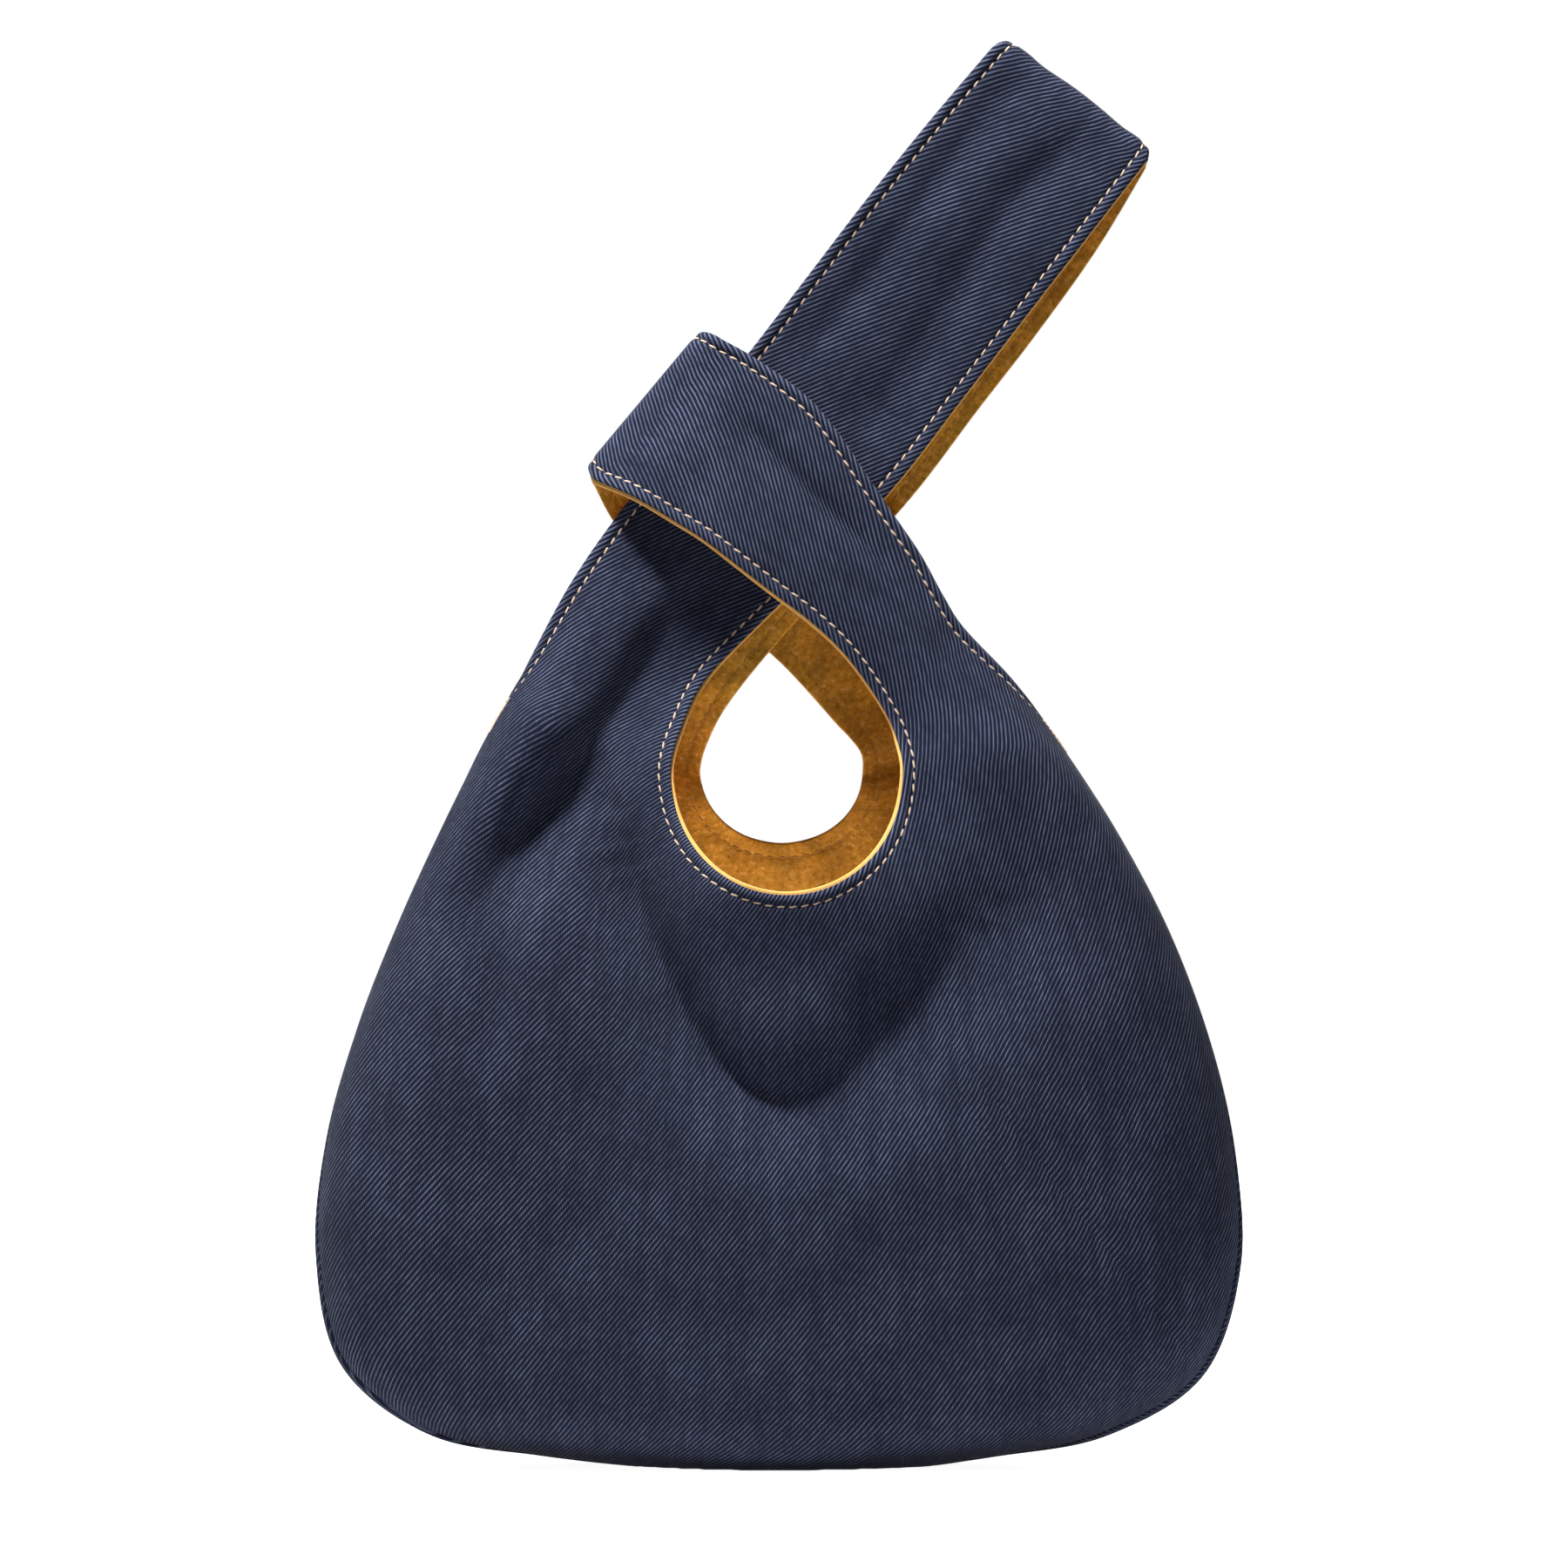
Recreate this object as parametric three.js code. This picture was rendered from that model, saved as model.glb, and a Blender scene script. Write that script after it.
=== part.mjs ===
// Knot bag of thick twill cloth with a leather lining.
// A front and a back panel share their side and bottom seam. Each panel runs up from the left
// shoulder into a long handle strap and from the right shoulder into a short loop strap. The two
// handle straps join at the top, the two loop straps join at the left, and the handle passes
// through the loop.
// Millimetres, +Z up, -Y to the front, origin on the floor under the middle of the bag.
import * as THREE from 'three';

// Cloth and lining
const denimThickness = 1.0;
const liningThickness = 1.2;
const layerGap = 0.3;
const jointGap = 0.3;

// Body
const bodyWidth = 269.6;
const slitHeight = 214;
const seamDrop = 4.6;
const restReach = 44;
const neckDepth = 20.5;
const slitNeckDepth = 14.3;
const bellySwell = 17.5;
const baseSwell = 21.0;
const heelSwell = 26;
const heelSharpness = 8;
const slitSwell = 7.4;
const slitEase = 0.4;
const seamRoll = THREE.MathUtils.degToRad(11);

// Mouth: a teardrop in each panel, larger in front
const frontNeckWidth = 67.4;
const frontNeckBottom = 166.4;
const frontNeckCentre = 2.4;
const backNeckWidth = 49.2;
const backNeckBottom = 180.3;
const backNeckCentre = 0.9;
const neckLevel = 203;
const neckEvenness = 0.08;
const neckRoundness = 0.92;

// Crossing of handle and loop
const crossingX = -3.8;
const crossingZ = 283.3;
const crossingGap = 1.0;
const slideClearance = 0.8;

// Handle
const handleLean = THREE.MathUtils.degToRad(52.4);
const handleWidth = 57;
const handleReach = 148;
const hingeReach = 63;
const hingeBend = 15;

// Loop
const loopLean = THREE.MathUtils.degToRad(140);
const loopWidth = 52.8;
const loopReach = 45.2;
const loopTail = 70;

// Facets. The sheets have points at these places across a panel, from the mouth to the outer edge:
// close together where the body's folds cross them, and few on the flat straps.
const rowsPerFanRib = 2;
const fanRibs = 20;
const bodyAcross = [0, 0.04, 0.085, 0.13, 0.18, 0.235, 0.3, 0.38, 0.47, 0.57, 0.68, 0.79, 0.9, 1];
const strapAcross = [0, 0.2, 0.4, 0.6, 0.8, 1];
const turnRows = 4;
const leastStep = 0.15;

const denimMaterial = new THREE.MeshStandardMaterial({ color: 0x363b4e, roughness: 0.9, metalness: 0 });
const liningMaterial = new THREE.MeshStandardMaterial({ color: 0xb57a33, roughness: 0.85, metalness: 0 });

// Depths of the surface between denim and lining, where the straps lie flat on each other
const denimFace = layerGap / 2 + denimThickness;
const liningFace = layerGap / 2 + liningThickness;
const handleLay = crossingGap + liningFace;
const loopLay = handleLay + denimFace + slideClearance + liningFace;

// Rounded side and bottom edge of the body from the left slit to the right one, as shares of half
// the body's width and of the slit's height
const outlineLeft = [
  [-0.611, 1.017], [-0.702, 0.903], [-0.806, 0.761], [-0.897, 0.618], [-0.965, 0.476], [-1.0, 0.327],
  [-0.978, 0.191], [-0.884, 0.08], [-0.675, 0.028],
];
const outlineRight = [
  [0.655, 0.031], [0.859, 0.08], [0.973, 0.191], [1.0, 0.327], [0.97, 0.476], [0.91, 0.618],
  [0.817, 0.761], [0.692, 0.903], [0.601, 0.989],
];

function mix(a, b, share) {
  return a + (b - a) * share;
}

function ease(from, to, value) {
  const share = THREE.MathUtils.clamp((value - from) / (to - from), 0, 1);
  return share * share * (3 - 2 * share);
}

// Point of a strap in the front view: its distance along the strap from the crossing, and across it
function strapPoint(lean, along, across) {
  return [
    crossingX + along * Math.cos(lean) + across * Math.sin(lean),
    crossingZ + along * Math.sin(lean) - across * Math.cos(lean),
  ];
}

function bodyOutline() {
  const place = ([x, z]) => new THREE.Vector2(x * bodyWidth / 2, z * slitHeight);
  const bottom = [-1, 0, 1].map(
    (end) => new THREE.Vector2(end * restReach, end === 0 ? -seamDrop : 0),
  );
  return new THREE.SplineCurve([...outlineLeft.map(place), ...bottom, ...outlineRight.map(place)]);
}

// A rib crosses a panel from the mouth's edge to the outer edge. It has the two ends in the front
// view, the depth of each, the swell between them, how much its outer end is a sewn seam, how far
// the seam rolls to the front, and the swell that fills the body out low down, beside its base.
function rib(inner, outer, depths, swell, sewn = 0, roll = 0, heel = 0) {
  return [...inner, ...outer, ...depths, swell, sewn, roll, heel];
}

// Handle ribs from the top fold down to the left shoulder. The reach is a share of the handle's, and
// the rest are shares of its width: the whole width, and for the front and back panels the centre's
// shift, the rise of the edges over the flat lay and the swell between them. At the last rib the
// outer edge rises less.
const handleRibs = [
  { reach: 1, width: 0.98, shift: [0.019, 0.032], rise: [0.035, 0.035], swell: [0.004, 0.004] },
  { reach: 0.78, width: 1.0, shift: [0.007, 0.077], rise: [0.063, 0.063], swell: [0.009, 0.009] },
  { reach: 0.58, width: 1.01, shift: [0, 0.091], rise: [0.046, 0.046], swell: [0.007, 0.007] },
  { reach: 0.38, width: 1.01, shift: [0, 0.091], rise: [0.007, 0.007], swell: [0.004, 0.004] },
  { reach: 0.18, width: 1.01, shift: [0, 0.095], rise: [0, 0], swell: [0.002, 0.002] },
  { reach: -0.02, width: 0.98, shift: [-0.028, 0.07], rise: [0, 0], swell: [0.002, 0.002] },
  { reach: -0.2, width: 0.92, shift: [-0.07, 0.049], rise: [0, 0], swell: [0.005, 0.002] },
  {
    reach: -0.365, width: 0.85, shift: [-0.082, 0.07], rise: [0.06, 0.011], swell: [0.046, 0.011],
    outer: 0.3,
  },
];

// Loop ribs from the right shoulder up to the fold at the left: reach, edges of the front and back
// panels as shares of half the loop's width, and as shares of its width the rise of the inner and
// outer edge over the flat lay, the swell between them, and how far the front panel's lower edge
// stands off the handle besides
const loopRibs = [
  { reach: -1, front: [-1.04, 0.24], back: [-1.45, 0.22], rise: [0.087, -0.03], swell: 0.095, lift: 0 },
  { reach: -0.84, front: [-0.9, 0.37], back: [-1.42, 0.34], rise: [0.061, -0.017], swell: 0.076, lift: 0.02 },
  { reach: -0.66, front: [-0.8, 0.56], back: [-1.35, 0.5], rise: [0.034, -0.008], swell: 0.053, lift: 0.055 },
  { reach: -0.48, front: [-0.78, 0.7], back: [-1.3, 0.6], rise: [0.017, -0.002], swell: 0.03, lift: 0.085 },
  { reach: -0.28, front: [-0.81, 0.85], back: [-1.31, 0.65], rise: [0.006, 0], swell: 0.015, lift: 0.12 },
  { reach: -0.1, front: [-0.83, 0.99], back: [-1.33, 0.67], rise: [0, 0], swell: 0.012, lift: 0.145 },
  { reach: 0.1, front: [-0.85, 1.08], back: [-1.34, 0.69], rise: [0, 0], swell: 0.012, lift: 0.15 },
  { reach: 0.32, front: [-0.9, 1.09], back: [-1.32, 0.74], rise: [0, 0], swell: 0.01, lift: 0.14 },
  { reach: 0.62, front: [-0.98, 1.05], back: [-1.3, 0.84], rise: [0, 0], swell: 0.006, lift: 0.11 },
  { reach: 1, front: [-1.1, 0.98], back: [-1.12, 0.96], rise: [0.05, 0], swell: 0, lift: 0 },
];

// Folds of the cloth as smooth lines in the front view, at shares of half the body's width and of the
// slit's height. Each has its depth over the plain bag, negative for a valley, how far it reaches to
// its left and to its right at the line's two ends, and over what share of the line it fades.
const foldSteps = 36;
const cowlLine = [
  [-0.371, 0.967], [-0.319, 0.822], [-0.267, 0.701], [-0.141, 0.57], [-0.007, 0.5], [0.126, 0.523],
  [0.274, 0.617], [0.482, 0.762], [0.645, 0.897],
];
const frontFolds = [
  // The cowl's valley, from the left shoulder round under the mouth to the right shoulder
  { line: cowlLine, depth: -6.3, left: [5.5, 12], right: [8, 20], fade: 0.2 },
  // The cloth is full to both sides of it
  { line: cowlLine, depth: 3.2, left: [30, 32], right: [30, 32], fade: 0.12 },
  // The mouth's lower edge stands forward
  {
    line: [[-0.2, 0.855], [-0.104, 0.785], [0.015, 0.762], [0.148, 0.78], [0.245, 0.846]],
    depth: 4.5, left: [15, 15], right: [15, 15], fade: 0.4,
  },
  // Valley along the long strap, from the crossing down to the left side
  {
    line: [
      [-0.059, 1.234], [-0.178, 1.178], [-0.304, 1.1], [-0.438, 0.995], [-0.564, 0.883], [-0.653, 0.785],
      [-0.727, 0.682],
    ],
    depth: -5, left: [7, 9], right: [6, 6], fade: 0.3,
  },
];
const backFolds = [
  // The back's cowl, seen from behind
  {
    line: [[-0.519, 0.888], [-0.326, 0.738], [-0.089, 0.607], [0.119, 0.626], [0.297, 0.748], [0.415, 0.935]],
    depth: -4.5, left: [8, 8], right: [14, 14], fade: 0.25,
  },
];
const foldsEndAt = 0.86;

// Ribs beside the slits, where the body narrows into the straps: how far the inner end lies from
// the strap towards the mouth and the outer end towards the slit, in x and in z, the shares of the
// body's neck depth and swell, and how much the outer end still curls like the seam
const leftShoulder = {
  innerShare: [0.72, 0.58], outerShare: [0.52, 0.52], depthShare: 0.55, swellShare: 0.28, sewn: 0.3,
};
const rightShoulder = {
  innerShare: [0.65, 0.5], outerShare: [0.58, 0.5], depthShare: 0.58, swellShare: 0.34, sewn: 0.45,
};

function shoulderRib(shape, strap, mouthEnd, slit, outerDepth) {
  const [innerX, innerZ] = shape.innerShare;
  const [outerX, outerZ] = shape.outerShare;
  return rib(
    [mix(strap[0], mouthEnd[0], innerX), mix(strap[1], mouthEnd[1], innerZ)],
    [mix(strap[2], slit.x, outerX), mix(strap[3], slit.y, outerZ)],
    [neckDepth * shape.depthShare, outerDepth],
    bellySwell * shape.swellShare,
    shape.sewn,
  );
}

// Places between the left slit and the right one, as shares of the seam between them: where the
// body has its full depth, and between which places it widens into its base
const fullDepthAt = 0.3;
const heelStartsAt = 0.22;
const heelEndsAt = 0.44;
const baseStartsAt = 0.36;
const baseEndsAt = 0.46;

// Inner depth and swells of a body rib. The body is shallow at the slits, full below the mouth and
// fullest over the floor, where it fills out right down to its base.
function fullness(share) {
  const fromSlit = Math.min(share, 1 - share);
  const full = ease(0, fullDepthAt, fromSlit);
  const upper = mix(slitSwell, bellySwell, full);
  return {
    depth: mix(slitNeckDepth, neckDepth, full),
    swell: mix(upper, baseSwell, ease(baseStartsAt, baseEndsAt, fromSlit)),
    heel: heelSwell * ease(heelStartsAt, heelEndsAt, fromSlit),
  };
}

// Where the roll of the seam starts, is full, and fades again, counted from either slit
const leftRoll = { starts: 0.12, full: 0.3, fades: 0.36, ends: 0.44 };
const rightRoll = { starts: 0.1, full: 0.28, fades: 0.36, ends: 0.44 };

// The back panel's cloth rolls to the front round both lower corners and hides under the belly
function cornerRoll(share) {
  const part = (roll, place) => ease(roll.starts, roll.full, place) * ease(roll.ends, roll.fades, place);
  return (part(leftRoll, share) + part(rightRoll, 1 - share)) * seamRoll;
}

function panelRibs(isFront) {
  const which = isFront ? 0 : 1;
  const neckWidth = isFront ? frontNeckWidth : backNeckWidth;
  const neckBottom = isFront ? frontNeckBottom : backNeckBottom;
  const neckCentre = isFront ? frontNeckCentre : backNeckCentre;
  const outline = bodyOutline();
  const ribs = handleRibs.map((r, number) => {
    const rise = r.rise[which] * handleWidth;
    const end = number === 0 ? handleReach - handleLay - rise - denimFace : r.reach * handleReach;
    const half = r.width * handleWidth / 2;
    const shift = r.shift[which] * handleWidth;
    return rib(
      strapPoint(handleLean, end, shift + half),
      strapPoint(handleLean, end, shift - half),
      [handleLay + rise, handleLay + rise * (r.outer ?? 1)],
      r.swell[which] * handleWidth,
    );
  });
  const handleEnd = ribs[ribs.length - 1];
  const neck = (share) => {
    const angle = Math.PI * (share + neckEvenness * Math.sin(2 * Math.PI * share));
    return [
      neckCentre - neckWidth / 2 * Math.cos(angle),
      neckLevel - (neckLevel - neckBottom) * Math.sin(angle) ** neckRoundness,
    ];
  };
  ribs.push(shoulderRib(leftShoulder, handleEnd, neck(0), outline.getPointAt(0), handleLay + slitEase));
  for (let number = 0; number <= fanRibs; number += 1) {
    const share = number / fanRibs;
    const edge = outline.getPointAt(share);
    const full = fullness(share);
    ribs.push(rib(
      neck(share),
      [edge.x, edge.y],
      [full.depth, jointGap / 2],
      full.swell,
      1,
      cornerRoll(share),
      full.heel,
    ));
  }
  const loops = loopRibs.map((r, number) => {
    const edges = isFront ? r.front : r.back;
    const last = number === loopRibs.length - 1;
    const lifts = [isFront ? r.lift : 0, 0];
    const depths = r.rise.map((rise, end) => loopLay + (rise + lifts[end]) * loopWidth);
    const [inner, outer] = depths.map((depth, end) => {
      const reach = last ? loopReach - depth - denimFace : r.reach * (r.reach < 0 ? loopTail : loopReach);
      return strapPoint(loopLean, reach, edges[end] * loopWidth / 2);
    });
    return rib(inner, outer, depths, r.swell * loopWidth);
  });
  ribs.push(shoulderRib(rightShoulder, loops[0], neck(1), outline.getPointAt(1), handleLay));
  return [...ribs, ...loops];
}

const firstFanRib = handleRibs.length + 1;
const firstLoopRib = firstFanRib + fanRibs + 2;
const lastRib = firstLoopRib + loopRibs.length - 1;

// Values of a rib between two numbered ones, on a smooth curve through all of them
function ribAt(ribs, place) {
  const number = Math.min(Math.floor(place), ribs.length - 2);
  const share = place - number;
  const near = [-1, 0, 1, 2].map((step) => ribs[THREE.MathUtils.clamp(number + step, 0, ribs.length - 1)]);
  return near[1].map((value, column) => {
    const [a, b, c, d] = near.map((values) => values[column]);
    const slope = (c - a) / 2;
    const nextSlope = (d - b) / 2;
    const bend = 3 * (c - b) - 2 * slope - nextSlope;
    const turn = 2 * (b - c) + slope + nextSlope;
    return b + slope * share + bend * share ** 2 + turn * share ** 3;
  });
}

// Fold with its line cut into short straight steps
function placedFold(fold) {
  const line = new THREE.SplineCurve(
    fold.line.map(([x, z]) => new THREE.Vector2(x * bodyWidth / 2, z * slitHeight)),
  );
  const points = line.getPoints(foldSteps);
  const steps = points.slice(1).map((point, number) => {
    const from = points[number];
    return { from, run: point.clone().sub(from) };
  });
  return { ...fold, steps };
}

// Depth that folds add to a panel at a point of the front view
function foldDepth(folds, x, z) {
  return folds.reduce((depth, { steps, depth: peak, left, right, fade }) => {
    const strengths = steps.map(({ from, run }, number) => {
      const gapX = x - from.x;
      const gapZ = z - from.y;
      const part = THREE.MathUtils.clamp((gapX * run.x + gapZ * run.y) / run.lengthSq(), 0, 1);
      const share = (number + part) / steps.length;
      const gap = Math.hypot(gapX - part * run.x, gapZ - part * run.y);
      const [start, end] = run.x * gapZ - run.y * gapX > 0 ? left : right;
      return ease(0, fade, share) * ease(1, 1 - fade, share) * Math.exp(-((gap / mix(start, end, share)) ** 2));
    });
    return depth + peak * Math.max(...strengths);
  }, 0);
}

// Section of a rib at an angle from 0 at the mouth to a right angle at the outer edge. Past the
// right angle the section goes on round the edge, on the other panel's side.
function section(values, angle, denimInset) {
  const [innerX, innerZ, outerX, outerZ, innerDepth, outerDepth, swell, sewnRaw, , heel] = values;
  const sewn = THREE.MathUtils.clamp(sewnRaw, 0, 1);
  const length = Math.hypot(outerX - innerX, outerZ - innerZ);
  const full = length - denimInset * sewn;
  const flat = Math.min(angle / (Math.PI / 2), 1);
  const reach = mix(flat, Math.sin(angle), sewn) * full / length;
  const swelling = swell + heel * Math.sin(angle) ** heelSharpness;
  const curved = outerDepth + (innerDepth - outerDepth) * Math.cos(angle) + swelling * Math.sin(2 * angle);
  const plain = mix(innerDepth, outerDepth, flat) + swell * Math.sin(Math.PI * flat);
  return {
    x: mix(innerX, outerX, reach),
    z: mix(innerZ, outerZ, reach),
    depth: mix(plain, curved, sewn),
  };
}

// Middle surface of a panel, between its denim and its lining. Along counts ribs, and below the
// first or past the last it turns round the strap's fold; across runs from 0 to 1.
function makePanel(isFront) {
  const ribs = panelRibs(isFront);
  const folds = (isFront ? frontFolds : backFolds).map(placedFold);
  const sign = isFront ? -1 : 1;
  const valuesAt = (along) => ribAt(ribs, THREE.MathUtils.clamp(along, 0, lastRib));
  const rollAt = (along) => Math.max(valuesAt(along)[8], 0);
  const surface = (along, across) => {
    const values = valuesAt(along);
    const seamAngle = Math.PI / 2 + (isFront ? -rollAt(along) : rollAt(along));
    const angle = across * seamAngle;
    const overEdge = angle > Math.PI / 2;
    const point = section(values, overEdge ? Math.PI - angle : angle, denimFace);
    const turn = Math.max(-along, along - lastRib, 0) * Math.PI / 2;
    const sewn = THREE.MathUtils.clamp(values[7], 0, 1);
    const folding = mix(1, ease(1, foldsEndAt, across), sewn) * Math.cos(turn) ** 2;
    const fold = folding > 0 ? foldDepth(folds, point.x, point.z) * folding : 0;
    const depth = (overEdge ? jointGap - point.depth : point.depth) + fold;
    const lean = along < 0 ? handleLean : loopLean;
    return new THREE.Vector3(
      point.x + Math.cos(lean) * point.depth * Math.sin(turn),
      sign * depth * Math.cos(turn),
      point.z + Math.sin(lean) * point.depth * Math.sin(turn),
    );
  };
  return { surface, rollAt };
}

function outwardNormal(surface, isFront, along, across) {
  const step = 0.02;
  const ends = [Math.max(along - step, -1), Math.min(along + step, lastRib + 1)];
  const sides = [Math.max(across - step, 0), Math.min(across + step, 1)];
  const alongTangent = surface(ends[1], across).sub(surface(ends[0], across));
  const acrossTangent = surface(along, sides[1]).sub(surface(along, sides[0]));
  const normal = alongTangent.cross(acrossTangent).normalize();
  return isFront ? normal.negate() : normal;
}

// Closed sheet of a panel between two faces at set distances from its middle surface. It stands
// flat on the floor where the body would reach below it.
function sheetGeometry(isFront, rows, places, faces) {
  const panel = makePanel(isFront);
  const side = isFront ? -1 : 1;
  const columns = places.length - 1;
  const positions = [];
  for (const face of faces) {
    for (const along of rows) {
      for (const across of places) {
        const point = panel.surface(along, across);
        point.addScaledVector(outwardNormal(panel.surface, isFront, along, across), face);
        point.z = Math.max(point.z, denimFace - face);
        if (panel.rollAt(along) < 0.001) point.y = side * Math.max(side * point.y, jointGap / 2);
        positions.push(point.x, point.y, point.z);
      }
    }
  }
  const width = columns + 1;
  const half = rows.length * width;
  const indices = [];
  const quad = (a, b, c, d) => {
    if (isFront) {
      indices.push(a, b, c, a, c, d);
    } else {
      indices.push(a, c, b, a, d, c);
    }
  };
  for (let row = 0; row < rows.length - 1; row += 1) {
    for (let column = 0; column < columns; column += 1) {
      const corner = row * width + column;
      const next = corner + width;
      quad(corner, corner + 1, next + 1, next);
      quad(half + corner, half + next, half + next + 1, half + corner + 1);
    }
    const start = row * width;
    const end = start + columns;
    quad(start, start + width, half + start + width, half + start);
    quad(end, half + end, half + end + width, end + width);
  }
  const last = (rows.length - 1) * width;
  for (let column = 0; column < columns; column += 1) {
    quad(column, half + column, half + column + 1, column + 1);
    quad(last + column, last + column + 1, half + last + column + 1, half + last + column);
  }
  const geometry = new THREE.BufferGeometry();
  geometry.setAttribute('position', new THREE.Float32BufferAttribute(positions, 3));
  geometry.setIndex(indices);
  return geometry;
}

// Rib numbers at which the handle bends and the loop's shoulder stretches
function handlePlace(reach) {
  const reaches = handleRibs.map((r) => r.reach * handleReach);
  const number = reaches.findIndex((value) => value < reach) - 1;
  return number + (reaches[number] - reach) / (reaches[number] - reaches[number + 1]);
}

const foldStop = 1 - jointGap / 2 / handleLay / Math.PI;
const stretchEnd = firstLoopRib + 4;
const stretchStart = firstLoopRib - 1;
const zones = [
  { name: 'handle', from: -foldStop, to: handlePlace(hingeReach + hingeBend), places: strapAcross },
  {
    name: 'handle_fold', from: handlePlace(hingeReach + hingeBend), to: handlePlace(hingeReach - hingeBend),
    places: strapAcross,
  },
  { name: 'body', from: handlePlace(hingeReach - hingeBend), to: stretchStart, places: bodyAcross },
  { name: 'shoulder', from: stretchStart, to: stretchEnd, places: bodyAcross },
  { name: 'loop', from: stretchEnd, to: lastRib + foldStop, places: strapAcross },
];

// A distance along the front panel as a share of the space between ribs there
function ribShare(place, distance) {
  const { surface } = makePanel(true);
  const step = 0.1;
  const spacing = surface(place + step, 0.5).distanceTo(surface(place - step, 0.5)) / (2 * step);
  return distance / spacing;
}

// Rows of one zone: its ends, moved in by the gap between neighbouring pieces, and the ribs between
function zoneRows({ from, to }) {
  const first = from < 0 ? from : from + ribShare(from, jointGap / 2);
  const final = to > lastRib ? to : to - ribShare(to, jointGap / 2);
  const rows = [first];
  const steps = [];
  for (let turn = turnRows - 1; turn > 0; turn -= 1) steps.push(-turn / turnRows);
  for (let number = 0; number <= lastRib; number += 1) {
    const inFan = number >= firstFanRib - 1 && number < firstLoopRib;
    const count = inFan ? rowsPerFanRib : 1;
    for (let step = 0; step < count; step += 1) steps.push(number + step / count);
  }
  for (let turn = 1; turn < turnRows; turn += 1) steps.push(lastRib + turn / turnRows);
  rows.push(...steps.filter((step) => step > first + leastStep && step < final - leastStep));
  rows.push(final);
  return rows;
}

const layers = [
  { name: 'denim', faces: [denimFace, layerGap / 2], material: denimMaterial },
  { name: 'lining', faces: [-layerGap / 2, -liningFace], material: liningMaterial },
];

const group = new THREE.Group();
for (const zone of zones) {
  for (const layer of layers) {
    for (const side of ['front', 'back']) {
      const geometry = sheetGeometry(side === 'front', zoneRows(zone), zone.places, layer.faces);
      const mesh = new THREE.Mesh(geometry, layer.material);
      mesh.name = `${zone.name}_${layer.name}_${side}`;
      group.add(mesh);
    }
  }
}

export default group;
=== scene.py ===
import bpy
import math
import numpy as np
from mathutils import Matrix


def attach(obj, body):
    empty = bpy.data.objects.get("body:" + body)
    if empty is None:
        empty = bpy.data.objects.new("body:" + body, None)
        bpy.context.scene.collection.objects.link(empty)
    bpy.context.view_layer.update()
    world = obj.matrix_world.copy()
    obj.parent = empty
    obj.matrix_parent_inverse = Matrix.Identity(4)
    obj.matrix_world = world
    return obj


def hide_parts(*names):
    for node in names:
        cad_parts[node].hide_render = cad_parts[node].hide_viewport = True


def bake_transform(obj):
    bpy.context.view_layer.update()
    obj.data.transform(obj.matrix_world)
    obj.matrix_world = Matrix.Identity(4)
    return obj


# Looks of a knot bag: heavy dark twill outside, ochre suede inside and pale topstitching.
# Lengths are millimetres, as in the bag's solids, and become metres where a mesh or a lamp is made.
# +Z is up and -Y is the front.
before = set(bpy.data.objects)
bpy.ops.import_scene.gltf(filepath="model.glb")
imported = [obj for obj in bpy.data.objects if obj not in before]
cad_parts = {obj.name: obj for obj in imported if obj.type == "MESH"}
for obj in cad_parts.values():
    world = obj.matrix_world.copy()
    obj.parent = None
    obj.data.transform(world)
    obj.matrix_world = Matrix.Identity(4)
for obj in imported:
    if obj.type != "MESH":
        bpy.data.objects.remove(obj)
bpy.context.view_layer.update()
METRE = 0.001

# Cloth and lining
CLOTH = 1.0
LINING = 1.2
LAYER_GAP = 0.3
JOINT_GAP = 0.3
CLOTH_FACE = LAYER_GAP / 2 + CLOTH
LINING_FACE = LAYER_GAP / 2 + LINING

# Body: its outline, its depth at the mouth and the slits, and the swell of its sides. What "starts" or
# "ends" does so at a share of the way round from a slit.
BODY_WIDTH = 269.6
SLIT_HEIGHT = 214
SEAM_DROP = 4.6
REST_REACH = 44
NECK_DEPTH = 20.5
SLIT_NECK_DEPTH = 14.3
BELLY_SWELL = 17.5
BASE_SWELL = 21.0
HEEL_SWELL = 26
HEEL_SHARPNESS = 8
SLIT_SWELL = 7.4
SLIT_EASE = 0.4
SEAM_BAND = 1.9
FULL_DEPTH_AT = 0.3
BASE_STARTS_AT = 0.36
BASE_ENDS_AT = 0.46
HEEL_STARTS_AT = 0.22
HEEL_ENDS_AT = 0.44
LEFT_ROLL = {"starts": 0.12, "full": 0.3, "fades": 0.36, "ends": 0.44}
RIGHT_ROLL = {"starts": 0.1, "full": 0.28, "fades": 0.36, "ends": 0.44}

# Mouth: a teardrop in each panel, larger in front. Width, bottom and centre.
FRONT_NECK = (67.4, 166.4, 2.4)
BACK_NECK = (49.2, 180.3, 0.9)
NECK_LEVEL = 203
NECK_EVENNESS = 0.08
NECK_ROUNDNESS = 0.92

# Crossing, handle and loop: the crossing's centre, gaps between the layers there, the straps' leans and
# widths, how far they reach from the crossing, and where the handle bends
CROSSING = (-3.8, 283.3)
CROSSING_GAP = 1.0
SLIDE_CLEARANCE = 0.8
HANDLE_LEAN = math.radians(52.4)
HANDLE_WIDTH = 57
HANDLE_REACH = 148
LOOP_LEAN = math.radians(140)
LOOP_WIDTH = 52.8
LOOP_REACH = 45.2
LOOP_TAIL = 70
HANDLE_LAY = CROSSING_GAP + LINING_FACE
LOOP_LAY = HANDLE_LAY + CLOTH_FACE + SLIDE_CLEARANCE + LINING_FACE
FAN_RIBS = 20
FRONT = -1
BACK = 1

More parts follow.
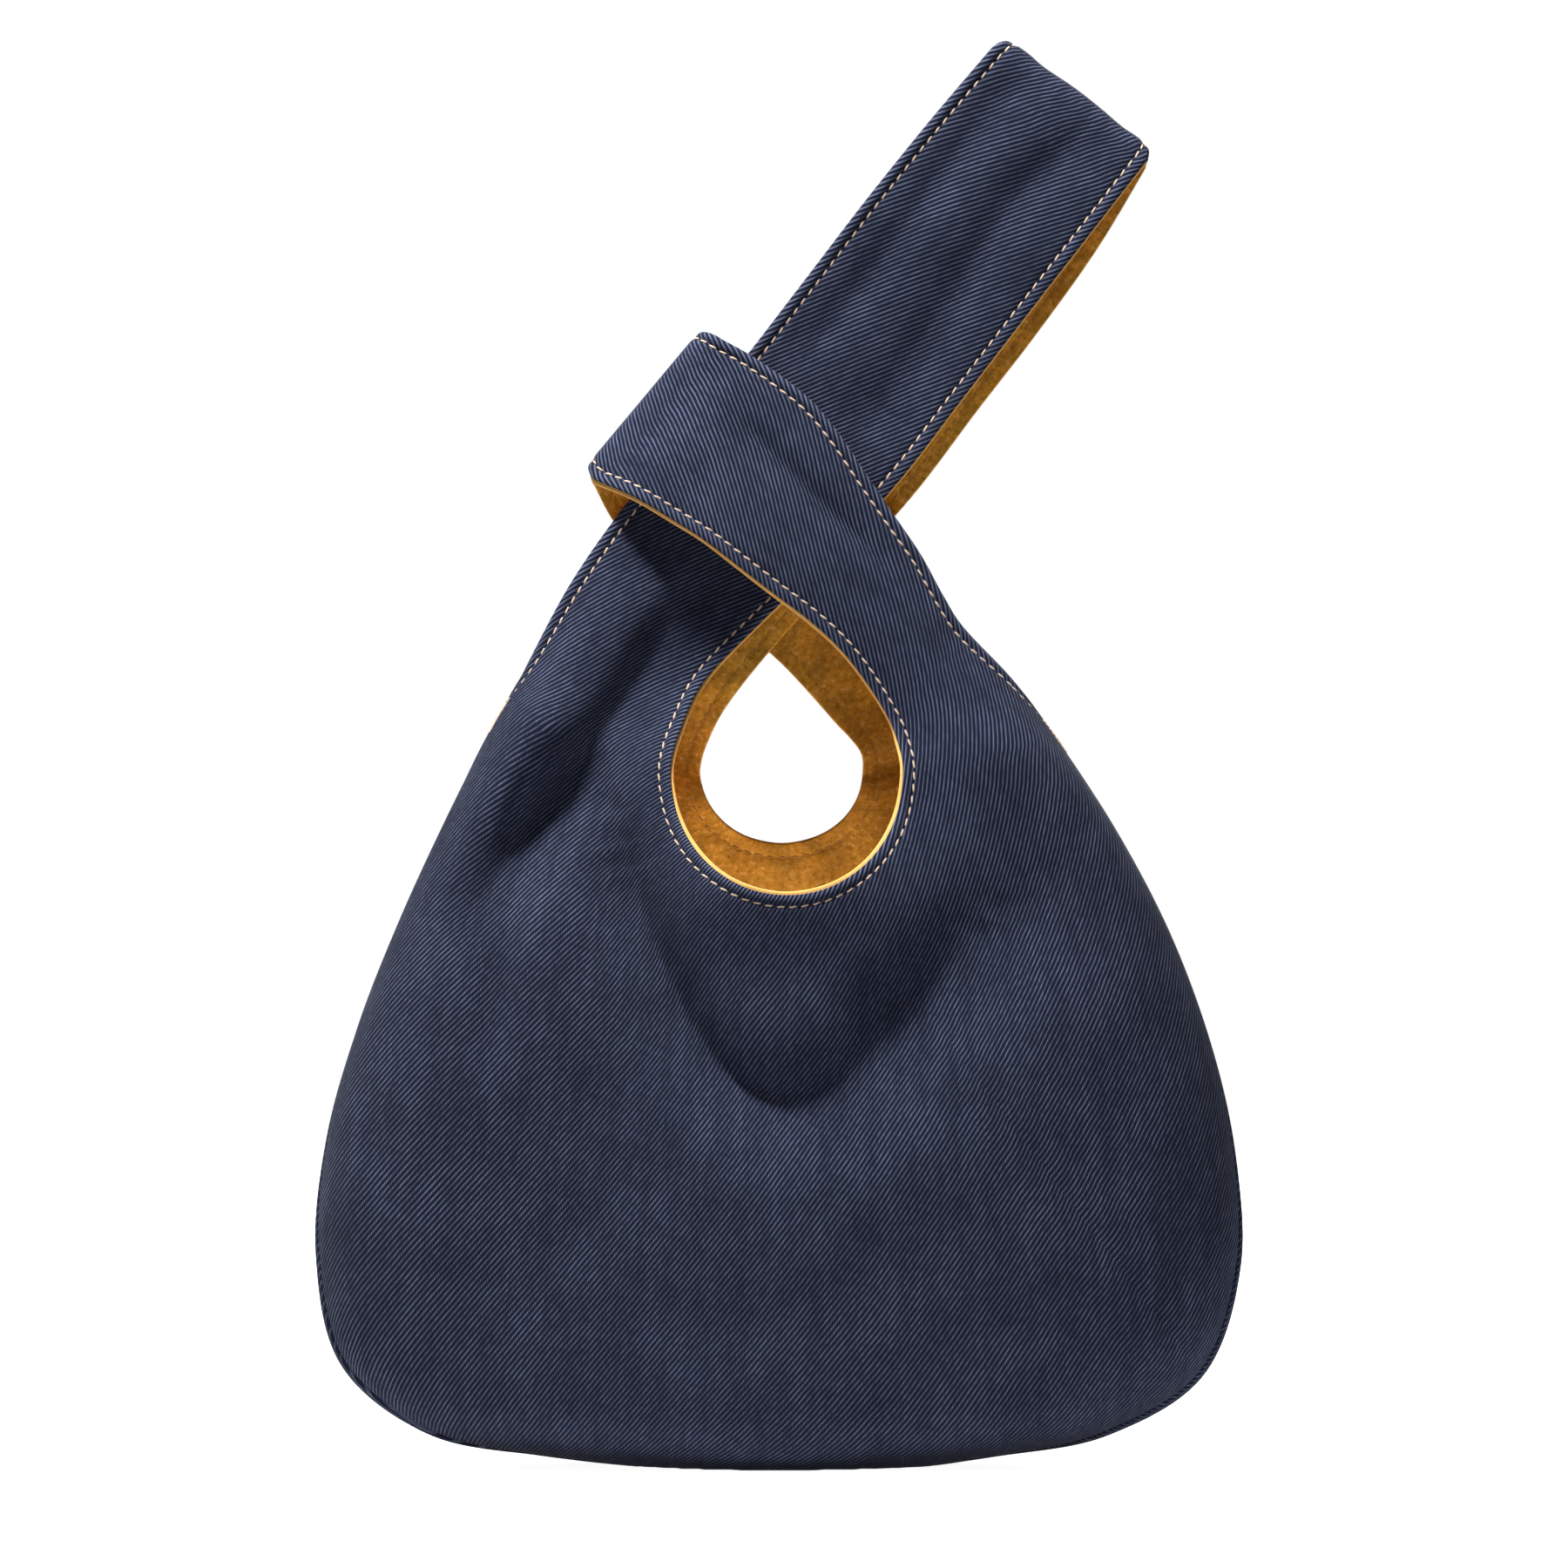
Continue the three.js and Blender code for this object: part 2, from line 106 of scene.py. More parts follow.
# Side and bottom edge from the left slit to the right one, as shares of half the body's width and of
# the slit's height
OUTLINE_LEFT = [
    (-0.611, 1.017), (-0.702, 0.903), (-0.806, 0.761), (-0.897, 0.618), (-0.965, 0.476), (-1.0, 0.327),
    (-0.978, 0.191), (-0.884, 0.08), (-0.675, 0.028),
]
OUTLINE_RIGHT = [
    (0.655, 0.031), (0.859, 0.08), (0.973, 0.191), (1.0, 0.327), (0.97, 0.476), (0.91, 0.618),
    (0.817, 0.761), (0.692, 0.903), (0.601, 0.989),
]

# Shifts that round the back panel's mouth where it runs into the loop
BACK_HOLE_EASE = (-3.9, 3.6)
BACK_SHOULDER_EASE = (0.8, 0.2)

# Handle ribs: reach, width, centre's shift, edges' rise and swell in front and at the back, and how
# much of the rise the outer edge has
HANDLE_RIBS = [
    (1, 0.98, (0.019, 0.032), (0.035, 0.035), (0.004, 0.004), 1),
    (0.78, 1.0, (0.007, 0.077), (0.063, 0.063), (0.009, 0.009), 1),
    (0.58, 1.01, (0, 0.091), (0.046, 0.046), (0.007, 0.007), 1),
    (0.38, 1.01, (0, 0.091), (0.007, 0.007), (0.004, 0.004), 1),
    (0.18, 1.01, (0, 0.095), (0, 0), (0.002, 0.002), 1),
    (-0.02, 0.98, (-0.028, 0.07), (0, 0), (0.002, 0.002), 1),
    (-0.2, 0.92, (-0.07, 0.049), (0, 0), (0.005, 0.002), 1),
    (-0.365, 0.85, (-0.082, 0.07), (0.06, 0.011), (0.046, 0.011), 0.3),
]

# Loop ribs: reach, edges of the front and the back panel, rise of the two edges, swell, and how far
# the front panel's lower edge stands off the handle
LOOP_RIBS = [
    (-1, (-1.04, 0.24), (-1.45, 0.22), (0.087, -0.03), 0.095, 0),
    (-0.84, (-0.9, 0.37), (-1.42, 0.34), (0.061, -0.017), 0.076, 0.02),
    (-0.66, (-0.8, 0.56), (-1.35, 0.5), (0.034, -0.008), 0.053, 0.055),
    (-0.48, (-0.78, 0.7), (-1.3, 0.6), (0.017, -0.002), 0.03, 0.085),
    (-0.28, (-0.81, 0.85), (-1.31, 0.65), (0.006, 0), 0.015, 0.12),
    (-0.1, (-0.83, 0.99), (-1.33, 0.67), (0, 0), 0.012, 0.145),
    (0.1, (-0.85, 1.08), (-1.34, 0.69), (0, 0), 0.012, 0.15),
    (0.32, (-0.9, 1.09), (-1.32, 0.74), (0, 0), 0.01, 0.14),
    (0.62, (-0.98, 1.05), (-1.3, 0.84), (0, 0), 0.006, 0.11),
    (1, (-1.11, 0.98), (-1.12, 0.96), (-0.03, 0), 0, 0),
]

# Ribs beside the slits: inner and outer shares, depth, swell and how much the outer end curls
LEFT_SHOULDER = ((0.72, 0.58), (0.52, 0.52), 0.55, 0.28, 0.3)
RIGHT_SHOULDER = ((0.65, 0.5), (0.58, 0.5), 0.58, 0.34, 0.45)

FIRST_FAN = len(HANDLE_RIBS) + 1
FIRST_LOOP = FIRST_FAN + FAN_RIBS + 2
LAST_RIB = FIRST_LOOP + len(LOOP_RIBS) - 1

# Where the panels are divided into pieces: under the loop's band, and at the right shoulder
HANDLE_CUT = 5.0
SHOULDER_CUT = FIRST_LOOP - 1


def mix(a, b, share):
    return a + (b - a) * share


def ease(start, end, value):
    share = np.clip((value - start) / (end - start), 0, 1)
    return share * share * (3 - 2 * share)


def curve_through(points, place):
    """Smooth curve through points, at places counted in points."""
    points = np.asarray(points, float)
    place = np.asarray(place, float)
    number = np.clip(np.floor(place).astype(int), 0, len(points) - 2)
    share = (place - number)[..., None]
    a, b, c, d = (points[np.clip(number + step, 0, len(points) - 1)] for step in (-1, 0, 1, 2))
    slope, next_slope = (c - a) / 2, (d - b) / 2
    bend = 3 * (c - b) - 2 * slope - next_slope
    turn = 2 * (b - c) + slope + next_slope
    return b + slope * share + bend * share ** 2 + turn * share ** 3


def lengths_along(points):
    """Length of a line of points up to each of them."""
    return np.concatenate([[0], np.cumsum(np.linalg.norm(np.diff(points, axis=0), axis=1))])


def outline_points():
    """Points of the body's edge at each fan rib, evenly spaced along it."""
    bottom = [(-REST_REACH, 0), (0, -SEAM_DROP), (REST_REACH, 0)]
    left, right = (
        [(x * BODY_WIDTH / 2, z * SLIT_HEIGHT) for x, z in side] for side in (OUTLINE_LEFT, OUTLINE_RIGHT)
    )
    points = left + bottom + right
    places = np.linspace(0, len(points) - 1, 201)
    fine = curve_through(points, places)
    length = lengths_along(fine)
    return curve_through(points, np.interp(np.linspace(0, length[-1], FAN_RIBS + 1), length, places))


def strap_point(lean, along, across):
    return (
        CROSSING[0] + along * math.cos(lean) + across * math.sin(lean),
        CROSSING[1] + along * math.sin(lean) - across * math.cos(lean),
    )


# Places of two of a rib's values
SEWN = 7
ROLL = 8


def rib(inner, outer, depths, swell, sewn=0.0, roll=0.0, heel=0.0):
    return [*inner, *outer, *depths, swell, sewn, roll, heel]


def shoulder_rib(shape, strap, mouth_end, slit, outer_depth):
    (inner_x, inner_z), (outer_x, outer_z), depth, swell, sewn = shape
    return rib(
        (mix(strap[0], mouth_end[0], inner_x), mix(strap[1], mouth_end[1], inner_z)),
        (mix(strap[2], slit[0], outer_x), mix(strap[3], slit[1], outer_z)),
        (NECK_DEPTH * depth, outer_depth),
        BELLY_SWELL * swell,
        sewn,
    )


def corner_roll(share, length):
    """How far the back panel's cloth rolls round the lower corners, so that it shows as a band of even
    width in front."""
    def part(roll, place):
        return float(ease(roll["starts"], roll["full"], place) * ease(roll["ends"], roll["fades"], place))
    return (part(LEFT_ROLL, share) + part(RIGHT_ROLL, 1 - share)) * math.acos(1 - SEAM_BAND / length)


def neck_point(neck, share):
    width, bottom, centre = neck
    angle = math.pi * (share + NECK_EVENNESS * math.sin(2 * math.pi * share))
    drop = (NECK_LEVEL - bottom) * max(math.sin(angle), 0) ** NECK_ROUNDNESS
    return centre - width / 2 * math.cos(angle), NECK_LEVEL - drop


def panel_ribs(side):
    which = 0 if side == FRONT else 1
    neck = (FRONT_NECK, BACK_NECK)[which]
    outline = outline_points()
    ribs = []
    for number, (reach, width, shifts, rises, swells, outer) in enumerate(HANDLE_RIBS):
        rise = rises[which] * HANDLE_WIDTH
        end = HANDLE_REACH - HANDLE_LAY - rise - CLOTH_FACE if number == 0 else reach * HANDLE_REACH
        half = width * HANDLE_WIDTH / 2
        shift = shifts[which] * HANDLE_WIDTH
        ribs.append(rib(
            strap_point(HANDLE_LEAN, end, shift + half),
            strap_point(HANDLE_LEAN, end, shift - half),
            (HANDLE_LAY + rise, HANDLE_LAY + rise * outer),
            swells[which] * HANDLE_WIDTH,
        ))
    left_slit, right_slit = outline[0], outline[-1]
    slit_depth = HANDLE_LAY + SLIT_EASE
    ribs.append(shoulder_rib(LEFT_SHOULDER, ribs[-1], neck_point(neck, 0), left_slit, slit_depth))
    for number in range(FAN_RIBS + 1):
        share = number / FAN_RIBS
        from_slit = min(share, 1 - share)
        full = float(ease(0, FULL_DEPTH_AT, from_slit))
        swell = mix(SLIT_SWELL, BELLY_SWELL, full)
        swell = mix(swell, BASE_SWELL, float(ease(BASE_STARTS_AT, BASE_ENDS_AT, from_slit)))
        depth = mix(SLIT_NECK_DEPTH, NECK_DEPTH, full)
        inner = neck_point(neck, share)
        roll = corner_roll(share, math.dist(inner, outline[number]))
        heel = HEEL_SWELL * float(ease(HEEL_STARTS_AT, HEEL_ENDS_AT, from_slit))
        ribs.append(rib(inner, outline[number], (depth, JOINT_GAP / 2), swell, 1.0, roll, heel))
    loops = []
    for number, (reach, front, back, rises, swell, lift) in enumerate(LOOP_RIBS):
        edges = (front, back)[which]
        lifts = (lift if side == FRONT else 0, 0)
        depths = [LOOP_LAY + (rise + more) * LOOP_WIDTH for rise, more in zip(rises, lifts)]
        ends = [reach * (LOOP_TAIL if reach < 0 else LOOP_REACH)] * 2
        if number == len(LOOP_RIBS) - 1:
            ends = [LOOP_REACH - depth - CLOTH_FACE for depth in depths]
        corners = [strap_point(LOOP_LEAN, end, edge * LOOP_WIDTH / 2) for end, edge in zip(ends, edges)]
        loops.append(rib(*corners, depths, swell * LOOP_WIDTH))
    if side == BACK:
        loops[0][0] += BACK_HOLE_EASE[0]
        loops[0][1] += BACK_HOLE_EASE[1]
    ribs.append(shoulder_rib(RIGHT_SHOULDER, loops[0], neck_point(neck, 1), right_slit, HANDLE_LAY))
    if side == BACK:
        ribs[-1][0] += BACK_SHOULDER_EASE[0]
        ribs[-1][1] += BACK_SHOULDER_EASE[1]
    return np.array(ribs + loops)


RIBS = {FRONT: panel_ribs(FRONT), BACK: panel_ribs(BACK)}


def rib_values(side, along):
    """Rib values at places along a panel. Round a fold they run into those of the other panel."""
    inside = np.clip(along, 0, LAST_RIB)
    past = np.maximum(-along, along - LAST_RIB).clip(0, 1)[:, None]
    own = curve_through(RIBS[side], inside)
    other = curve_through(RIBS[-side], inside)
    return mix(own, other, past / 2)


# Folds of the cloth as smooth lines in the front view. Points are x and z, then come the depth over
# the plain bag, negative for a valley, how far the fold reaches to the left and to the right of the
# line at its start and its end, and over what share of the line it fades.
COWL_LINE = [
    (-54, 212), (-45, 180), (-37, 154), (-26, 129), (-12, 111.5), (3, 106.5), (19, 112), (37, 129.5),
    (62, 158), (79, 179),
]
COWL_CREASE = [(-53, 210), (-45, 180), (-37, 154), (-26, 130), (-12, 112.5), (5, 108)]
MOUTH_EDGE_LINE = [(-27, 193), (-14, 178), (2, 173), (20, 177), (37, 194)]
STRAP_LINE = [(-8, 262), (-22, 250), (-36, 233.5), (-52, 211), (-70, 187), (-83, 166), (-91, 150)]
STRAP_RIDGE_LINE = [(-47, 258), (-61, 235), (-73, 212), (-85, 190), (-98, 160)]
LOWER_HANDLE_LINE = [(24, 301), (37, 317), (54, 345), (69, 369), (88, 386)]
BACK_COWL_LINE = [(-70, 190), (-43.9, 157.9), (-12, 129.9), (16, 134), (40, 160.1), (55.9, 200.1)]
FRONT_FOLDS = [
    ("cowl valley", COWL_LINE, -10.5, (8, 16), (12, 24), 0.2),
    ("left crease of the cowl", COWL_CREASE, -3.0, (3.5, 4), (4, 5), 0.2),
    ("full sides of the cowl", COWL_LINE, 3.2, (30, 32), (30, 32), 0.3),
    ("mouth's lower edge", MOUTH_EDGE_LINE, 10, (24, 24), (24, 24), 0.4),
    ("long strap valley", STRAP_LINE, -11.5, (15, 13), (8, 8), 0.4),
    ("hollow under the band", [(-4, 257), (-14, 247), (-22, 237), (-28, 228)], -7, (10, 8), (13, 5), 0.4),
    ("long strap ridge", STRAP_RIDGE_LINE, 2.0, (6, 6), (5, 5), 0.3),
    ("left of the mouth", [(-71, 190), (-74, 166), (-80, 140), (-86, 108)], -2.0, (5, 6), (5, 6), 0.3),
    ("left side valley", [(-114, 130), (-116, 92), (-108, 56)], -1.2, (6, 6), (6, 6), 0.4),
    ("right shoulder ridge", [(74, 212), (86, 199), (98, 181), (113, 152)], 1.6, (6, 9), (6, 9), 0.35),
    ("right side valley", [(104, 140), (102, 108), (96, 80)], -0.8, (6, 6), (6, 6), 0.4),
    ("upper handle valley", [(4, 321), (25, 344), (54, 383), (70, 404)], -1.3, (5, 5), (5, 5), 0.12),
    ("lower handle valley", LOWER_HANDLE_LINE, -1.8, (7, 5), (7, 6), 0.12),
]
# Folds of the loop's front band, on which the body's folds have faded out
BAND_FOLDS = [
    ("band upper valley", [(-16, 308), (2, 290), (20, 272.5), (33, 260)], -2.0, (4, 4), (3.5, 3.5), 0.3),
    ("band middle valley", [(-18, 302), (-6, 290), (6, 278)], -0.5, (3, 3), (3, 3), 0.3),
]
BACK_FOLDS = [
    ("back cowl valley", BACK_COWL_LINE, -4.5, (8, 8), (14, 14), 0.25),
    ("back shoulder valley", [(-90, 176), (-97, 130), (-88, 92)], -1.6, (9, 9), (9, 9), 0.4),
    ("back low valley", [(88, 150), (92, 108), (74, 66)], -1.6, (11, 11), (11, 11), 0.4),
    ("back strap valley", [(-24, 262), (-40, 236), (-62, 206)], -1.2, (6, 6), (6, 6), 0.3),
    ("back handle valley", [(28, 306), (48, 340), (74, 380)], -1.2, (6, 6), (6, 6), 0.25),
]
# Steps along a fold's line, how many reaches away it is still counted, over what breadth its reach
# turns from its left side's to its right side's, and the share across a panel from which folds fade
# towards a seam
FOLD_STEPS = 36
FOLD_TAIL = 2.3
SIDE_BLEND = 8.0
FOLDS_END_AT = 0.86
# A valley flattens out before it reaches the other panel
LEAST_DEPTH = 0.5

# At the top of the handle and at the loop's fold the cloth draws in at its two edges, by a width and
# a reach. The handle's fold line is a little wavy: shares across it and heights.
FOLD_NARROWS = 1.3
FOLD_CORNER = 1.1
FOLD_CORNER_WIDTH = 2.4
HANDLE_WAVE = [
    (0, -0.1), (0.1, 0.3), (0.2, -0.1), (0.36, 0.25), (0.54, 0.3), (0.75, -0.3), (0.85, 0.1), (1, -0.1),
]


def fold_height(folds, x, z):
    """Depth that the folds add at points of the front view."""
    height = np.zeros(x.shape)
    for _, points, peak, left, right, fade in folds:
        line = curve_through(points, np.linspace(0, len(points) - 1, FOLD_STEPS + 1))
        reach = max(*left, *right) * FOLD_TAIL
        near = (x > line[:, 0].min() - reach) & (x < line[:, 0].max() + reach)
        near &= (z > line[:, 1].min() - reach) & (z < line[:, 1].max() + reach)
        if not near.any():
            continue
        run_x, run_z = np.diff(line, axis=0).T
        gap_x, gap_z = x[near][:, None] - line[:-1, 0], z[near][:, None] - line[:-1, 1]
        part = ((gap_x * run_x + gap_z * run_z) / (run_x ** 2 + run_z ** 2)).clip(0, 1)
        share = (np.arange(FOLD_STEPS) + part) / FOLD_STEPS
        off_line = (run_x * gap_z - run_z * gap_x) / np.hypot(run_x, run_z)
        left_share = (off_line / SIDE_BLEND + 0.5).clip(0, 1)
        width = mix(mix(*right, share), mix(*left, share), left_share)
        gap = (gap_x - part * run_x) ** 2 + (gap_z - part * run_z) ** 2
        strength = ease(0, fade, share) * ease(1, 1 - fade, share) * np.exp(-gap / width ** 2)
        height[near] += peak * strength.max(axis=1)
    return height


def middle(side, along, across):
    """Middle surface of a panel between its cloth and its lining, folds included."""
    shape = np.broadcast(along, across).shape
    rows = along if along.ndim == 1 else along[:, 0]
    values = rib_values(side, rows)
    cells = [values[:, column][:, None] for column in range(values.shape[1])]
    inner_x, inner_z, outer_x, outer_z, inner_depth, outer_depth, swell, sewn, roll, heel = cells
    sewn = sewn.clip(0, 1)
    roll = roll.clip(0, None)
    seam_angle = math.pi / 2 + side * roll
    angle = across * seam_angle
    over = angle > math.pi / 2
    turned = np.where(over, math.pi - angle, angle)
    length = np.hypot(outer_x - inner_x, outer_z - inner_z)
    flat = np.minimum(turned / (math.pi / 2), 1)
    reach = mix(flat, np.sin(turned), sewn) * (length - CLOTH_FACE * sewn) / length
    swelling = swell + heel * np.sin(turned) ** HEEL_SHARPNESS
    curved = outer_depth + (inner_depth - outer_depth) * np.cos(turned) + swelling * np.sin(2 * turned)
    plain = mix(inner_depth, outer_depth, flat) + swell * np.sin(math.pi * flat)
    depth = mix(plain, curved, sewn)
    signed = np.where(over, JOINT_GAP - depth, depth)
    rows = rows[:, None]
    turn = np.maximum(np.maximum(-rows, rows - LAST_RIB), 0) * math.pi / 2
    lean = np.where(rows < 0, HANDLE_LEAN, LOOP_LEAN)
    reach = reach + np.sin(turn) ** 2 * FOLD_NARROWS / length * (1 - 2 * flat)
    x = mix(inner_x, outer_x, reach)
    z = mix(inner_z, outer_z, reach)
    corners = sum(np.exp(-(gap * length / FOLD_CORNER_WIDTH) ** 2) for gap in (flat, 1 - flat))
    shares, heights = zip(*HANDLE_WAVE)
    wave = curve_through(np.array(heights)[:, None], np.interp(flat, shares, range(len(shares))))[..., 0]
    past = depth + np.where(rows < 0, wave, 0) - corners * FOLD_CORNER
    edge_fade = mix(1, ease(1, FOLDS_END_AT, across), sewn)
    folds, loop_folds = (FRONT_FOLDS, BAND_FOLDS) if side == FRONT else (BACK_FOLDS, BACK_FOLDS)
    in_loop = ease(FIRST_LOOP, FIRST_LOOP + 2, rows)
    added = mix(fold_height(folds, x, z), fold_height(loop_folds, x, z), in_loop)
    added *= edge_fade * np.cos(turn) ** 2
    room = np.maximum(signed - LEAST_DEPTH, 0.01)
    signed = signed + np.where(added < 0, room * np.tanh(added / room), added)
    return np.stack([
        np.broadcast_to(x + np.cos(lean) * past * np.sin(turn), shape),
        np.broadcast_to(side * signed * np.cos(turn), shape),
        np.broadcast_to(z + np.sin(lean) * past * np.sin(turn), shape),
    ], axis=-1)


def unit(vectors):
    return vectors / np.maximum(np.linalg.norm(vectors, axis=-1, keepdims=True), 1e-9)


def directions(side, along, across):
    """Tangent along a panel, tangent across it, and the outward normal."""
    step, small = 0.02, 0.004
    column = along[:, None]
    ends = np.maximum(column - step, -1), np.minimum(column + step, LAST_RIB + 1)
    sides = np.maximum(across - small, 0), np.minimum(across + small, 1)
    down = unit(middle(side, ends[1], across) - middle(side, ends[0], across))
    over = unit(middle(side, column, sides[1]) - middle(side, column, sides[0]))
    return down, over, unit(np.cross(down, over)) * side


# Distances from an edge at which a panel has columns of points, close together near the edge and at
# the topstitching
EDGE_STEPS = [0, 0.08, 0.25, 0.5, 0.9, 1.5, 2.2, 2.8, 3.2, 3.5, 3.9, 4.6, 5.6, 7.2]
STITCH_IN = 3.4
STITCH_PITCH = 3.5
ROW_SPACING = 2.2
BODY_COLUMNS = 58
STRAP_COLUMNS = 22
SPARE_ROW = 0.03
# Rows and columns at which a panel is measured to space its points evenly
FINE_ROWS = 1200
FINE_COLUMNS = 161


class Path:
    """Rows of one piece along a panel, or up one panel, over a fold and down the other. A spare row
    past either end tells how the surface goes on there."""

    def __init__(self, columns, *legs):
        self.columns = columns
        parts = []
        for number, (side, start, end) in enumerate(legs):
            rows = self.even_rows(side, start, end)
            beyond = math.copysign(SPARE_ROW, end - start)
            if number == 0:
                rows = np.concatenate([[start - beyond], rows])
                self.turn = side * math.copysign(1, end - start)
            else:
                rows = rows[1:]
            if number == len(legs) - 1:
                rows = np.concatenate([rows, [end + beyond]])
            parts.append(self.measure(side, rows))
        for name in parts[0]:
            setattr(self, name, np.concatenate([part[name] for part in parts]))

    @staticmethod
    def even_rows(side, start, end):
        fine = np.linspace(start, end, FINE_ROWS)
        across = np.array([[0, 0.5, 1]])
        points = middle(side, fine[:, None], across)
        steps = np.linalg.norm(np.diff(points, axis=0), axis=2).max(axis=1)
        length = np.concatenate([[0], np.cumsum(steps)])
        count = int(math.ceil(length[-1] / ROW_SPACING)) + 1
        return np.interp(np.linspace(0, length[-1], count), length, fine)

    def measure(self, side, rows):
        samples = np.linspace(0, 1, FINE_COLUMNS)[None, :]
        points = middle(side, rows[:, None], samples)
        pieces = np.linalg.norm(np.diff(points, axis=1), axis=2)
        lengths = np.concatenate([np.zeros((len(rows), 1)), np.cumsum(pieces, axis=1)], axis=1)
        total = lengths[:, -1:]
        edge = np.array(EDGE_STEPS)
        share = np.linspace(0, 1, self.columns + 2)[1:-1]
        distance = np.concatenate([
            np.broadcast_to(edge, (len(rows), len(edge))),
            mix(edge[-1], total - edge[-1], share[None, :]),
            total - edge[::-1],
        ], axis=1)
        across = np.array([np.interp(d, l, samples[0]) for d, l in zip(distance, lengths)])
        point = middle(side, rows[:, None], across)
        values = rib_values(side, rows)
        return {
            "along": rows,
            "side": np.full(len(rows), side),
            "point": point,
            "normal": directions(side, rows, across)[2],
            "inner": distance,
            "outer": total - distance,
            "sewn": values[:, SEWN].clip(0, 1),
            "roll": values[:, ROLL],
            "grain": GRAIN[side](rows, across),
            "wear": np.broadcast_to(np.interp(rows, WEAR_AND_LIGHT_PLACES, WEAR_AND_PAINTED_LIGHT)[:, None], across.shape),
        }


# How far the cloth is rubbed, at places along a panel: most on the loop, which the handle slides in. The
# same values paint light: they make the band and the handle lighter than their lamps do, and brighten the
# straps' suede lining.
WEAR_AND_LIGHT_PLACES = [-1, 5, 9, 14, 18, 24, 28, 31, 34, 37, LAST_RIB, LAST_RIB + 1]
WEAR_AND_PAINTED_LIGHT = [0.25, 0.2, 0.1, 0.1, 0, 0, 0, 0.05, 0.15, 0.35, 0.35, 0.3]

# Lean of the warp from upright to the right, in degrees, at places along a panel
WARP_PLACES = [0, 6, 8, 9, 12, 15, 19, 23, 27, 29, 31, 33, 36, LAST_RIB]
WARP_LEANS = [33, 34, 27, 20, 11, 5, 2, -5, -12, -27, -43, -50, -47, -48]
# Places between which the warp turns into the direction of the handle and of the loop
HANDLE_GRAIN = (4, 0)
LOOP_GRAIN = (LAST_RIB - 5, LAST_RIB)
# Columns at which the grain is laid out, about how long a step weighs 1, and a slight weight that fixes
# what the steps leave open
GRAIN_COLUMNS = 15
GRAIN_STEP = 8.0
GRAIN_HOLD = 1e-7


def grain_field(side):
    """Coordinates in the flat cloth, in millimetres along the weft and the warp, for any place on a
    panel. They are the ones whose steps fit the cloth's grain best over the whole panel."""
    rows = np.concatenate([[-1, -0.5], np.arange(0, LAST_RIB + 0.1, 0.5), [LAST_RIB + 0.5, LAST_RIB + 1]])
    columns = np.linspace(0, 1, GRAIN_COLUMNS)
    point = middle(side, rows[:, None], columns[None, :])
    index = np.arange(point.shape[0] * point.shape[1]).reshape(point.shape[:2])

    def along_steps():
        middle_rows = (rows[1:] + rows[:-1]) / 2
        across = np.broadcast_to(columns.clip(0.01, 0.97), (len(middle_rows), len(columns)))
        return index[:-1], index[1:], middle_rows, across

    def across_steps():
        middle_columns = (columns[1:] + columns[:-1]) / 2
        across = np.broadcast_to(middle_columns, (len(rows), len(middle_columns)))
        return index[:, :-1], index[:, 1:], rows, across

    flat = point.reshape(-1, 3)
    size = len(flat)
    matrix = np.eye(size) * GRAIN_HOLD
    right = np.zeros((size, 2))
    for first, second, places, across in (along_steps(), across_steps()):
        down, _, normal = directions(side, places, across)
        lean = np.radians(np.interp(places, WARP_PLACES, WARP_LEANS))[:, None, None]
        upright = np.concatenate([np.sin(lean), 0 * lean, np.cos(lean)], axis=2)
        upright = unit(upright - normal * (upright * normal).sum(axis=2, keepdims=True))
        strap = np.where(places < FIRST_FAN, -1, 1)[:, None, None] * down
        share = np.maximum(ease(*HANDLE_GRAIN, places), ease(*LOOP_GRAIN, places))[:, None, None]
        warp = unit(mix(upright, strap, share))
        weft = np.cross(warp, normal)
        span = flat[second.ravel()] - flat[first.ravel()]
        wanted = np.stack([(span * g.reshape(-1, 3)).sum(axis=1) for g in (weft, warp)], axis=1)
        weight = GRAIN_STEP / (np.linalg.norm(span, axis=1) + 0.5)
        a, b = first.ravel(), second.ravel()
        for row, column, sign in ((a, a, 1), (b, b, 1), (a, b, -1), (b, a, -1)):
            np.add.at(matrix, (row, column), sign * weight)
        for row, sign in ((b, 1), (a, -1)):
            np.add.at(right, row, sign * weight[:, None] * wanted)
    cloth = np.linalg.solve(matrix, right).reshape(*point.shape[:2], 2)

    def at(along, across):
        row = np.interp(along, rows, np.arange(len(rows)))
        low = np.clip(np.floor(row).astype(int), 0, len(rows) - 2)
        part = (row - low)[:, None, None]
        lines = mix(cloth[low], cloth[low + 1], part)
        column = across * (GRAIN_COLUMNS - 1)
        left = np.clip(np.floor(column).astype(int), 0, GRAIN_COLUMNS - 2)
        share = (column - left)[..., None]
        picked = np.take_along_axis(lines, left[..., None], axis=1)
        following = np.take_along_axis(lines, left[..., None] + 1, axis=1)
        return mix(picked, following, share)

    return at


def turned_grain(grain, fold):
    """The back panel's cloth coordinates, turned half round and moved to go on over a fold."""
    ends = np.array([0.25, 0.5, 0.75])[None, :]
    place = np.array([float(fold)])
    offset = (GRAIN[FRONT](place, ends) + grain(place, ends)).mean(axis=1)
    return lambda along, across: offset[:, None, :] - grain(along, across)


